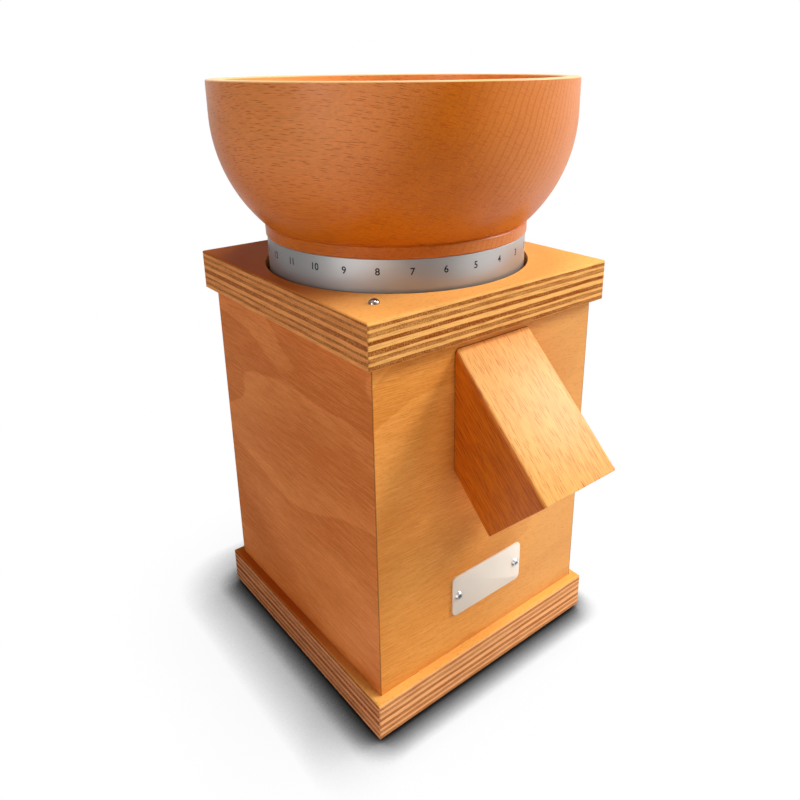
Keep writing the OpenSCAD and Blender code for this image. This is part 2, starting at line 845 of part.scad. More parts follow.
module upper_stone() {
    color("gainsboro") difference() {
        ring(stone_r, stone_eye_r, z_upper, stone_t);
        at_carrier_screws() translate([0, 0, z_carrier - carrier_screw_l + carrier_t])
            cylinder(r = wood_screw_r + seat_gap, h = carrier_screw_l);
    }
}

module stone_carrier() {
    color("darkgray") difference() {
        ring(carrier_r, stone_eye_r + 2, z_carrier, carrier_t);
        at_carrier_screws() translate([0, 0, z_carrier_top]) mirror([0, 0, 1])
            csk_screw(wood_screw_r, wood_screw_head_r, carrier_t + eps, seat_gap);
        at_angles(lug_angles, guide_at) translate([0, 0, z_carrier - eps])
            cylinder(r = guide_r + seat_gap, h = carrier_t + 2 * eps);
    }
}

module carrier_screws() {
    color("gray") at_carrier_screws() translate([0, 0, z_carrier_top]) mirror([0, 0, 1])
        crosshead_screw(wood_screw_r, wood_screw_head_r, carrier_screw_l - seat_gap);
}

module guide_pins() {
    z_low = z_lug - guide_l;
    color("silver") at_angles(lug_angles, guide_at) translate([0, 0, z_low])
        cylinder(r = guide_r, h = z_carrier_top - z_low);
}

module pressure_springs() {
    color("lightsteelblue") at_angles(lug_angles, guide_at) translate([0, 0, z_lug])
        coil_spring(spring_r, spring_wire_r, z_carrier - z_lug, spring_turns);
}

// ---- Mill chamber ----

module mill_chamber() {
    drum_out = drum_r + chamber_wall;
    color("lightslategray") difference() {
        union() {
            translate([0, 0, z_chamber]) cylinder(r = drum_out, h = z_top - z_chamber);
            translate([0, 0, z_flange + flange_t / 2])
                cube([room_w - 2 * flange_margin, room_d - 2 * flange_margin, flange_t], center = true);
            translate([0, 0, z_top]) cylinder(r = collar_r + collar_wall, h = z_collar - z_top);
            intersection() {
                channel(nozzle_wall);
                translate([-room_w / 2, flange_margin - room_d / 2, z_chamber])
                    cube([room_w, room_d / 2, z_top - z_chamber]);
            }
        }
        difference() {
            translate([0, 0, z_floor]) cylinder(r = drum_r, h = z_collar);
            at_angles(lug_angles, guide_at) translate([0, 0, z_lug - lug_h]) cylinder(r = lug_r, h = lug_h);
            at_angles(lug_angles, guide_at) translate([0, -lug_r, z_lug - lug_h])
                cube([lug_r + 2, 2 * lug_r, lug_h]);
        }
        translate([0, 0, z_flange]) cylinder(r = collar_r, h = z_collar);
        intersection() {
            channel();
            translate([-room_w / 2, -room_d / 2, z_chamber])
                cube([room_w, room_d / 2, z_flange - z_chamber]);
        }
        at_angles(lug_angles, guide_at) translate([0, 0, z_lug - lug_h - eps])
            cylinder(r = guide_r + running_gap, h = lug_h + 2 * eps);
        translate([0, 0, z_chamber - eps]) cylinder(r = seal_r + seat_gap, h = chamber_floor_t + 2 * eps);
        at_mount_screws() translate([0, 0, z_floor]) mirror([0, 0, 1])
            csk_screw(mount_screw_r, mount_screw_head_r, mount_screw_l, seat_gap);
        at_flange_corners() translate([0, 0, z_flange])
            csk_screw(wood_screw_r, wood_screw_head_r, flange_t + eps, seat_gap);
    }
}

module chamber_screws() {
    color("gray") at_flange_corners() translate([0, 0, z_flange])
        crosshead_screw(wood_screw_r, wood_screw_head_r, flange_t + flange_screw_grip);
}

module at_mount_screws() {
    around(mount_screw_n, mount_screw_at, mount_screw_turn) children();
}

module motor_mount_screws() {
    color("gray") at_mount_screws() translate([0, 0, z_floor]) mirror([0, 0, 1])
        crosshead_screw(mount_screw_r, mount_screw_head_r, mount_screw_l);
}

module shaft_seal() {
    color("tan") ring(seal_r, shaft_step_r + running_gap, z_chamber + seat_gap, chamber_floor_t - seat_gap);
}

// ---- Motor, fixed pieces ----

// End shield of the motor from z up, with its shaft hole and its drilled ears for the tie bolts
module shield_blank(z) {
    difference() {
        union() {
            translate([0, 0, z]) cylinder(r = motor_r, h = shield_t);
            at_angles(tie_angles, tie_at) translate([0, 0, z]) cylinder(r = tie_ear_r, h = shield_t);
        }
        translate([0, 0, z - eps]) cylinder(r = shaft_step_r + air_gap, h = shield_t + 2 * eps);
        at_angles(tie_angles, tie_at) translate([0, 0, z - eps])
            cylinder(r = tie_r + seat_gap, h = shield_t + 2 * eps);
    }
}

module upper_end_shield() {
    z_shield = z_motor - shield_t;
    color("silver") difference() {
        shield_blank(z_shield);
        translate([0, 0, z_shield - eps]) cylinder(r = bearing_r + seat_gap, h = bearing_w + eps);
        at_mount_screws() translate([0, 0, z_floor - mount_screw_l - seat_gap])
            cylinder(r = mount_screw_r + seat_gap, h = mount_screw_l);
    }
}

module lower_end_shield() {
    color("silver") difference() {
        shield_blank(z_motor_low);
        translate([0, 0, z_housing - bearing_w]) cylinder(r = bearing_r + seat_gap, h = bearing_w + eps);
        translate([0, 0, z_motor_low - eps]) around(shield_vent_n, (bearing_r + motor_r) / 2)
            cylinder(r = shield_vent_r, h = shield_t + 2 * eps);
    }
}

module motor_housing() {
    color("lightsteelblue") difference() {
        ring(motor_r, housing_r, z_housing, housing_l);
        at_angles(lead_angles, housing_r - 2 * eps) translate([0, 0, lead_hole_z])
            rotate([0, 90, 0]) cylinder(r = lead_hole_r, h = housing_wall + 4 * eps);
    }
}

module motor_tie_bolts() {
    color("gray") at_angles(tie_angles, tie_at) translate([0, 0, z_motor_low - tie_head_h]) {
        cylinder(r = tie_head_r, h = tie_head_h, $fn = 6);
        cylinder(r = tie_r, h = tie_head_h + housing_l + 2 * shield_t);
    }
}

module stator_core() {
    color("slategray") difference() {
        ring(core_r, rotor_r + air_gap, core_z - core_l / 2, core_l);
        translate([0, 0, core_z - core_l]) around(slot_n, slot_at) cylinder(r = slot_r, h = 2 * core_l);
    }
}

module windings() {
    color("orangered") {
        for (s = [-1, 1]) translate([0, 0, core_z + s * ((core_l + turns_h) / 2 + turns_gap)])
            rotate_extrude() translate([slot_at, 0]) rounded_rect(turns_w, turns_h, turns_round);
        translate([0, 0, core_z - core_l / 2 - turns_round]) around(slot_n, slot_at)
            cylinder(r = slot_r - slot_fill_gap, h = core_l + 2 * turns_round);
    }
}

module bearing_outer_races() {
    color("silver") for (z = bearing_z) translate([0, 0, z]) difference() {
        ring(bearing_r, bearing_r - race_t, -bearing_w / 2, bearing_w);
        rotate_extrude() translate([ball_at, 0]) circle(ball_r + race_groove);
    }
}

// ---- Motor, turning pieces ----

module bearing_inner_races() {
    color("silver") for (z = bearing_z) translate([0, 0, z]) difference() {
        ring(shaft_r + race_t, shaft_r + seat_gap, -bearing_w / 2, bearing_w);
        rotate_extrude() translate([ball_at, 0]) circle(ball_r + race_groove);
    }
}

module bearing_balls() {
    color("white") for (z = bearing_z) translate([0, 0, z]) around(ball_n, ball_at) sphere(r = ball_r);
}

module bearing_cages() {
    color("tan") for (z = bearing_z) translate([0, 0, z]) difference() {
        ring(ball_at + cage_t / 2, ball_at - cage_t / 2, -cage_h / 2, cage_h);
        around(ball_n, ball_at - cage_t) rotate([0, 90, 0])
            cylinder(r = ball_r + race_groove, h = 2 * cage_t);
    }
}

module motor_shaft() {
    step_low = bearing_z[1] + bearing_w / 2;
    color("silver") {
        translate([0, 0, shaft_low]) cylinder(r = shaft_r, h = z_nut - shaft_low);
        translate([0, 0, step_low]) cylinder(r = shaft_step_r, h = z_hub - step_low);
        translate([0, 0, z_nut - eps]) cylinder(r = spindle_r, h = nut_h + spindle_over + eps);
    }
}

module rotor() {
    color("darkgray") {
        ring(rotor_r, shaft_r + seat_gap, core_z - core_l / 2, core_l);
        ring(rotor_r - 2, rotor_r - 2 - end_ring_t, core_z - core_l / 2 - end_ring_l,
            core_l + 2 * end_ring_l);
    }
}

module cooling_fan() {
    color("darkslategray") {
        ring(fan_hub_r, shaft_r + seat_gap, shaft_low, fan_t + fan_blade_h);
        ring(fan_r, fan_hub_r - eps, shaft_low, fan_t);
        around(fan_blades, fan_hub_r - eps) translate([0, -fan_t / 2, shaft_low])
            cube([fan_r - fan_hub_r, fan_t, fan_t + fan_blade_h]);
    }
}

module stone_hub() {
    color("silver") {
        ring(hub_plate_r, shaft_r + seat_gap, z_hub, hub_plate_t);
        ring(hub_r, shaft_r + seat_gap, z_hub, z_nut - z_hub);
    }
}

module hub_nut() {
    color("gray") translate([0, 0, z_nut]) difference() {
        cylinder(r = nut_r, h = nut_h, $fn = 6);
        translate([0, 0, -eps]) cylinder(r = spindle_r + seat_gap, h = nut_h + 2 * eps);
    }
}

module runner_stone() {
    color("whitesmoke") ring(stone_r, hub_r + seat_gap, z_runner, stone_t);
}

module sweepers() {
    z_low = z_floor + sweeper_gap;
    color("white") {
        around(3, sweeper_in) translate([0, -sweeper_w / 2, z_low])
            cube([drum_r - 2 - sweeper_in, sweeper_w, z_hub - z_low]);
        ring(sweeper_in + sweeper_w, sweeper_in - 2, z_hub - sweeper_t, sweeper_t);
    }
}

// ---- Electrics ----

module switch_housing() {
    color("black") translate([back_fittings_x, 0, switch_z]) difference() {
        union() {
            translate([0, back_y + bezel_t / 2, 0])
                cube([switch_w + 2 * bezel_rim, bezel_t, switch_h + 2 * bezel_rim], center = true);
            translate([-switch_w / 2, switch_back_y, -switch_h / 2])
                cube([switch_w, back_y - switch_back_y + eps / 2, switch_h]);
        }
        translate([0, rocker_axis_y, 0])
            cube([rocker_w + 2 * rocker_gap, rocker_room_d, 2 * (rocker_half_h + rocker_room_over)],
                center = true);
        translate([rocker_pin_wall - switch_w / 2, rocker_axis_y, 0]) rotate([0, 90, 0])
            cylinder(r = rocker_pin_r + running_gap, h = switch_w - 2 * rocker_pin_wall);
    }
}

module switch_rocker() {
    color("dimgray") translate([back_fittings_x, rocker_axis_y, switch_z]) rotate([rocker_tilt, 0, 0]) {
        translate([-rocker_w / 2, 0, 0]) rotate([90, 0, 90]) linear_extrude(rocker_w) polygon([
            [rocker_mid_out, 0],
            [rocker_end_out, rocker_half_h],
            [-rocker_pin_r, rocker_half_h - rocker_bevel],
            [-rocker_back_out, rocker_foot],
            [-rocker_back_out, -rocker_foot],
            [-rocker_pin_r, rocker_bevel - rocker_half_h],
            [rocker_end_out, -rocker_half_h]
        ]);
        translate([rocker_pin_wall + rocker_pin_gap - switch_w / 2, 0, 0]) rotate([0, 90, 0])
            cylinder(r = rocker_pin_r, h = switch_w - 2 * (rocker_pin_wall + rocker_pin_gap));
    }
}

module switch_tabs() {
    color("gold") for (s = [-1, 1])
        translate([back_fittings_x, switch_back_y - tab_l / 2, switch_z + s * tab_z])
            cube([tab_w, tab_l, tab_t], center = true);
}

// Children with +z pointing out of the back wall's outer face at the gland
module at_gland() {
    translate([back_fittings_x, back_y, gland_z]) rotate([-90, 0, 0]) children();
}

module cord_gland() {
    color("black") at_gland() difference() {
        union() {
            translate([0, 0, -wall_t - gland_nut_t - gland_thread_spare])
                cylinder(r = gland_r, h = wall_t + gland_nut_t + gland_thread_spare + eps);
            cylinder(r = gland_flange_r, h = gland_flange_t, $fn = 6);
            translate([0, 0, gland_flange_t - eps])
                cylinder(r1 = gland_cap_r, r2 = gland_r, h = gland_cap_l + eps);
        }
        translate([0, 0, -3 * wall_t]) cylinder(r = gland_bore_r, h = 6 * wall_t);
    }
}

module gland_nut() {
    color("dimgray") at_gland() translate([0, 0, -wall_t - gland_nut_t]) difference() {
        cylinder(r = gland_flange_r, h = gland_nut_t, $fn = 6);
        translate([0, 0, -eps]) cylinder(r = gland_r + seat_gap, h = gland_nut_t + 2 * eps);
    }
}

module at_block_screws() {
    for (s = [-1, 1]) translate([block_at.x + s * block_screw_x, block_at.y, z_wall]) children();
}

module terminal_block() {
    color("ivory") difference() {
        translate([block_at.x, block_at.y, z_wall + block_size.z / 2]) cube(block_size, center = true);
        at_block_screws() {
            translate([0, 0, -eps]) cylinder(r = small_screw_r + seat_gap, h = block_size.z + 2 * eps);
            translate([0, 0, block_size.z - block_recess])
                cylinder(r = small_screw_head_r + seat_gap, h = block_recess + eps);
        }
    }
}

module terminal_screws() {
    color("gray") at_block_screws() {
        translate([0, 0, -block_screw_grip])
            cylinder(r = small_screw_r, h = block_screw_grip + block_size.z - block_recess + eps);
        translate([0, 0, block_size.z - block_recess]) cylinder(r = small_screw_head_r, h = block_head_h);
    }
}

module capacitor() {
    color("aliceblue") translate([cap_at.x, cap_at.y, z_wall]) {
        cylinder(r = cap_r, h = cap_h);
        translate([0, 0, -cap_stud_l]) cylinder(r = cap_stud_r, h = cap_stud_l + eps);
    }
}

// Point outside the motor at angle a, out from its winding by d, at height z
function off_winding(a, d, z) = [(turns_r + d) * cos(a), (turns_r + d) * sin(a), z];

module internal_leads() {
    block_z = z_wall + block_size.z + lead_gap;
    tab_y = switch_back_y - tab_l - lead_gap;
    cap_z = z_wall + cap_h + lead_gap;
    out = motor_r - turns_r + lead_out;
    // line from the terminal block to the switch
    color("saddlebrown") tube(route([
        [back_fittings_x - lead_apart, block_at.y, block_z],
        [back_fittings_x - lead_apart, block_at.y, block_z + lead_rise],
        [back_fittings_x - lead_apart - lead_in, block_at.y + lead_in, switch_z - 2 * lead_drop],
        [back_fittings_x, tab_y - lead_rise, switch_z - tab_z - lead_apart],
        [back_fittings_x, tab_y, switch_z - tab_z]
    ]), lead_r);
    // line from the switch to the motor windings
    color("saddlebrown") tube(route([
        [back_fittings_x, tab_y, switch_z + tab_z],
        [back_fittings_x, tab_y - lead_rise, switch_z + tab_z + lead_apart],
        [back_fittings_x - lead_in, block_at.y, lead_hole_z - lead_drop],
        off_winding(lead_angles[1] + lead_in, out, lead_hole_z - lead_level),
        off_winding(lead_angles[1] + lead_in, lead_gap, lead_hole_z - lead_level)
    ]), lead_r);
    // neutral from the terminal block to the motor windings
    color("steelblue") tube(route([
        [back_fittings_x + lead_apart, block_at.y, block_z],
        [back_fittings_x + lead_apart, block_at.y, block_z + lead_rise],
        [back_fittings_x + lead_aside, block_at.y + lead_back, switch_z - lead_past],
        [back_fittings_x + lead_aside, block_at.y + lead_back, switch_z + lead_past],
        off_winding(lead_angles[1] - lead_turn, out, lead_hole_z + lead_level),
        off_winding(lead_angles[1] - lead_turn, lead_gap, lead_hole_z + lead_level)
    ]), lead_r);
    // the two leads of the capacitor
    for (s = [-1, 1]) color("dimgray") tube(route([
        [cap_at.x + cap_pole * s, cap_at.y - cap_pole * s, cap_z],
        [cap_at.x + cap_pole * s, cap_at.y - cap_pole * s, cap_z + lead_rise],
        [cap_at.x + lead_in * s, cap_at.y - lead_in * s, lead_hole_z - lead_past],
        off_winding(lead_angles[0] - lead_turn * s, out, lead_hole_z),
        off_winding(lead_angles[0] - lead_turn * s, lead_gap, lead_hole_z)
    ]), lead_r);
}

base_plate();
top_plate();
front_wall();
back_wall();
left_wall();
right_wall();
wall_dowels();
base_screws();
rubber_feet();
foot_screws();
index_pin();
chute();
chute_screws();
nameplate();
nameplate_screws();
hopper_bowl();
feed_throat();
screw_ring();
scale_ring();
hopper_screws();
upper_stone();
stone_carrier();
carrier_screws();
guide_pins();
pressure_springs();
mill_chamber();
chamber_screws();
motor_mount_screws();
shaft_seal();
upper_end_shield();
lower_end_shield();
motor_housing();
motor_tie_bolts();
stator_core();
windings();
bearing_outer_races();
bearing_inner_races();
bearing_balls();
bearing_cages();
motor_shaft();
rotor();
cooling_fan();
stone_hub();
hub_nut();
runner_stone();
sweepers();
switch_housing();
switch_rocker();
switch_tabs();
cord_gland();
gland_nut();
terminal_block();
terminal_screws();
capacitor();
internal_leads();
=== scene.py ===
import json
import math

import bmesh
import bpy
from mathutils import Matrix, Vector

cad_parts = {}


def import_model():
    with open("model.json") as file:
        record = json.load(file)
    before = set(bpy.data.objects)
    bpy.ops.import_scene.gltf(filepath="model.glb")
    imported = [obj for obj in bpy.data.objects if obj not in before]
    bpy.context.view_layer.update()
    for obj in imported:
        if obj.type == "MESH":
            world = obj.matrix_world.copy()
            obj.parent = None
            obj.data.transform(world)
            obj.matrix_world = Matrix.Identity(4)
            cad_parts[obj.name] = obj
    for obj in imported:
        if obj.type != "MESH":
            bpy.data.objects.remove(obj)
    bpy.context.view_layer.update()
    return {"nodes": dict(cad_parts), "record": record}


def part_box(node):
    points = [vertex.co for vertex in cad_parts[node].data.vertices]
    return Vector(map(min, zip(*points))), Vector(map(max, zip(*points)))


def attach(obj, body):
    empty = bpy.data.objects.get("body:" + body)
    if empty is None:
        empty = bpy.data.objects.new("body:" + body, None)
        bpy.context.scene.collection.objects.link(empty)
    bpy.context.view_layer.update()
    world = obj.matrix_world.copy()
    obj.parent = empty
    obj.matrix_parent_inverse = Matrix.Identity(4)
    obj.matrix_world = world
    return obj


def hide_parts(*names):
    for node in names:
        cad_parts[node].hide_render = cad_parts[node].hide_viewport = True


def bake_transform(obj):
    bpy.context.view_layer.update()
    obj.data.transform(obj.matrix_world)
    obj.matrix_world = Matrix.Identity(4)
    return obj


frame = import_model()
MM = 0.001


def placed(name, data):
    """A new object in the scene, made of this data."""
    obj = bpy.data.objects.new(name, data)
    bpy.context.scene.collection.objects.link(obj)
    return obj


# ---- Camera: where the photograph was taken from ----

IMAGE_W = 800
CAMERA_AT = Vector((-257.3, -336.2, 354.3)) * MM
CAMERA_YAW = math.radians(38.87)
CAMERA_PITCH = math.radians(19.33)
CAMERA_ROLL = math.radians(-0.48)
FOCAL_PX = 725.2
CENTRE_PX = Vector((415.4, 316.9))
SENSOR = 36.0
NEAR_CLIP = 10 * MM


def make_camera():
    data = bpy.data.cameras.new("camera")
    camera = placed("camera", data)
    ahead = Vector((
        math.cos(CAMERA_PITCH) * math.sin(CAMERA_YAW),
        math.cos(CAMERA_PITCH) * math.cos(CAMERA_YAW),
        -math.sin(CAMERA_PITCH),
    ))
    level = ahead.cross(Vector((0, 0, 1))).normalized()
    upward = level.cross(ahead)
    right = math.cos(CAMERA_ROLL) * level + math.sin(CAMERA_ROLL) * upward
    up = math.cos(CAMERA_ROLL) * upward - math.sin(CAMERA_ROLL) * level
    turn = Matrix((right, up, -ahead)).transposed().to_4x4()
    camera.matrix_world = Matrix.Translation(CAMERA_AT) @ turn
    data.sensor_width = SENSOR
    data.lens = FOCAL_PX * SENSOR / IMAGE_W
    data.shift_x = (IMAGE_W / 2 - CENTRE_PX.x) / IMAGE_W
    data.shift_y = (CENTRE_PX.y - IMAGE_W / 2) / IMAGE_W
    data.clip_start = NEAR_CLIP
    bpy.context.scene.camera = camera


make_camera()

# ---- Sizes, from the frame ----

deck_low, deck_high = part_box("top_plate")
base_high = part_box("base_plate")[1]
front_low, front_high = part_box("front_wall")
back_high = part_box("back_wall")[1]
bowl_low, bowl_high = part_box("hopper_bowl")
ring_low, ring_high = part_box("scale_ring")
chute_low, chute_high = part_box("chute")
badge_low, badge_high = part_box("nameplate")
pin_low, pin_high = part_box("index_pin")
switch_low, switch_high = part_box("switch_housing")
floor_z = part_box("rubber_feet")[0].z

# ---- Node helpers ----


class Nodes:
    """The node tree of a material or a world, with short names for the nodes that it is built from."""

    def __init__(self, block):
        block.use_nodes = True
        self.block = block
        self.tree = block.node_tree
        self.tree.nodes.clear()
        self.coordinates = self.add("ShaderNodeTexCoord").outputs
        self.place = self.coordinates["Object"]
        self.normal = self.coordinates["Normal"]

    def add(self, kind, inputs=None, **settings):
        node = self.tree.nodes.new(kind)
        for key, value in settings.items():
            setattr(node, key, value)
        for key, value in (inputs or {}).items():
            self.feed(node.inputs[key], value)
        return node

    def feed(self, socket, value):
        if isinstance(value, bpy.types.NodeSocket):
            self.tree.links.new(value, socket)
        elif isinstance(value, (tuple, list)) and socket.type == "RGBA" and len(value) == 3:
            socket.default_value = (*value, 1)
        else:
            socket.default_value = value

    def math(self, operation, a, b=0.0, c=0.0, clamp=False):
        node = self.add("ShaderNodeMath", {0: a, 1: b, 2: c}, operation=operation, use_clamp=clamp)
        return node.outputs[0]

    def vector(self, operation, *inputs):
        """Vector arithmetic: a number for a dot product or a length, and else a vector."""
        node = self.add("ShaderNodeVectorMath", dict(enumerate(inputs)), operation=operation)
        return node.outputs["Value" if operation in ("DOT_PRODUCT", "LENGTH") else "Vector"]

    def joined(self, x, y, z):
        return self.add("ShaderNodeCombineXYZ", {0: x, 1: y, 2: z}).outputs[0]

    def split(self, vector):
        """The three numbers of a vector."""
        return self.add("ShaderNodeSeparateXYZ", {0: vector}).outputs

    def measured(self, vector, units):
        """The vector, with each axis measured in its own unit."""
        return self.vector("MULTIPLY", vector, tuple(1 / unit for unit in units))

    def facing(self, axis):
        """How squarely the surface looks along an axis, to either side of it: 0 to 1."""
        return self.math("ABSOLUTE", self.vector("DOT_PRODUCT", self.normal, tuple(axis)))

    def noise(self, vector, sizes, detail=2.0, roughness=0.5, distortion=0.0):
        """Noise whose features have these sizes along the vector's axes."""
        inputs = {
            "Vector": self.measured(vector, sizes), "Scale": 1.0, "Detail": detail,
            "Roughness": roughness, "Distortion": distortion,
        }
        return self.add("ShaderNodeTexNoise", inputs).outputs["Fac"]

    def between(self, value, low, high):
        """0 at low and 1 at high, smoothly."""
        inputs = {"Value": value, "From Min": low, "From Max": high}
        return self.add("ShaderNodeMapRange", inputs, interpolation_type="SMOOTHSTEP").outputs[0]

    def mix_numbers(self, factor, a, b):
        return self.add("ShaderNodeMix", {"Factor": factor, 2: a, 3: b}).outputs[0]

    def mix(self, factor, a, b):
        """The colour between two colours: the first at 0 and the second at 1."""
        return self.add("ShaderNodeMix", {"Factor": factor, 6: a, 7: b}, data_type="RGBA").outputs[2]

    def tint(self, colour, other, where, strength):
        """The colour, turned toward the other where a value is 1, as far as the strength says."""
        return self.mix(self.math("MULTIPLY", where, strength), colour, other)

    def steps(self, value, stops):
        """A scale of flat colours, each from its own position on."""
        node = self.add("ShaderNodeValToRGB", {"Fac": value})
        scale = node.color_ramp
        scale.interpolation = "CONSTANT"
        while len(scale.elements) < len(stops):
            scale.elements.new(1.0)
        for element, (position, colour) in zip(scale.elements, stops):
            element.position = position
            element.color = (*colour, 1)
        return node.outputs["Color"]

    def end(self, kind, shader):
        """Ends the tree: the shader becomes the surface."""
        self.feed(self.add(kind).inputs["Surface"], shader)
        return self.block


class Material(Nodes):
    """One node material."""

    def __init__(self, name):
        super().__init__(bpy.data.materials.new(name))

    def bump(self, height, distance):
        inputs = {"Height": height, "Distance": distance, "Strength": 1.0}
        return self.add("ShaderNodeBump", inputs).outputs["Normal"]

    def finish(self, colour, roughness, normal=None, **constants):
        """Ends the tree in a Principled shader: constants are set on its own sockets."""
        shader = self.add("ShaderNodeBsdfPrincipled", {"Base Color": colour, "Roughness": roughness})
        if normal is not None:
            self.feed(shader.inputs["Normal"], normal)
        for key, value in constants.items():
            self.feed(shader.inputs[key.replace("_", " ")], value)
        return self.end("ShaderNodeOutputMaterial", shader.outputs[0])

    def grain_space(self, along, across):
        """Object position in millimetres, as (along the grain, across the growth rings, the third way)."""
        along, across = Vector(along).normalized(), Vector(across).normalized()
        axes = (along, across, along.cross(across))
        return self.joined(*(self.vector("DOT_PRODUCT", self.place, tuple(axis / MM)) for axis in axes))


# ---- Wood ----

SEAM = (0.14, 0.035, 0.008)
# how near to a mitred corner the dark seam starts and is full, and how near to the wall before the chute the
# dark joint line, partly painted contact shade, starts and is full
MITRE_SEAM = (0.6 * MM, 0.25 * MM)
WALL_SEAM_SHADE = (0.8 * MM, 0.4 * MM)
# the painted highlight on the bowl's lip: how far it fades in, and how far under the rim it starts
LIP_HIGHLIGHT_FADE = 0.5 * MM
LIP_HIGHLIGHT_H = 0.9 * MM
SOLID_RELIEF = 0.05 * MM
VENEER_RELIEF = 0.03 * MM
# the rays' shift along the grain, in millimetres: how far it reaches, and over what distance it changes
# within the plane of the discs and across it
SHIFT_REACH = 15
SHIFT_WITHIN = 70
SHIFT_ACROSS = 2.5
# a cell's size over the length of its ray, and the disc's radius as a share of the cell
RAY_CELL = 1.2
RAY_RADIUS = 0.42
# a pore's length, its spacing, and the share of pores that show
PORES = (2.4, 1.0, 0.7)


def but_one(value, axis, other):
    """Three equal numbers, but for the one at this axis."""
    return [other if i == axis else value for i in range(3)]


def flecks(m, grain, length, pitch, share, thin=2, fat=0.15):
    """Rays: small thin discs, one to a cell, that any face cuts as dashes, each with its own darkness.

    pitch is the spacing across the discs, along the grain space's axis number thin, and fat is half a
    disc's thickness as a share of it. share tells how many of the discs show.
    """
    # each row along the grain is shifted against the next, so that no columns show
    shift = m.noise(grain, but_one(SHIFT_WITHIN, thin, SHIFT_ACROSS), 1.0)
    shifted = m.vector("MULTIPLY_ADD", shift, (SHIFT_REACH, 0, 0), grain)
    place = m.measured(shifted, but_one(RAY_CELL * length, thin, pitch))
    cells = m.add("ShaderNodeTexVoronoi", {"Vector": place, "Scale": 1.0})
    own = m.add("ShaderNodeSeparateColor", {0: cells.outputs["Color"]}).outputs[0]
    off = m.vector("SUBTRACT", place, cells.outputs["Position"])
    distance = m.vector("LENGTH", m.measured(off, but_one(RAY_RADIUS, thin, fat)))
    return m.math("MULTIPLY", m.between(distance, 1.1, 0.7), m.between(own, 0.9 - share, 1.3 - share))


def centred(m, value, gain):
    """A noise value about 0, times a gain."""
    return m.math("MULTIPLY", m.math("SUBTRACT", value, 0.5), gain)


def summed(m, *values):
    """The values' sum, kept between 0 and 1."""
    result = values[0]
    for value in values[1:]:
        result = m.math("ADD", result, value)
    return m.math("ADD", result, 0.0, clamp=True)


def fibres(m, grain, length=12.0, width=0.7):
    return m.noise(grain, (length, width, width), 3.0, 0.7)


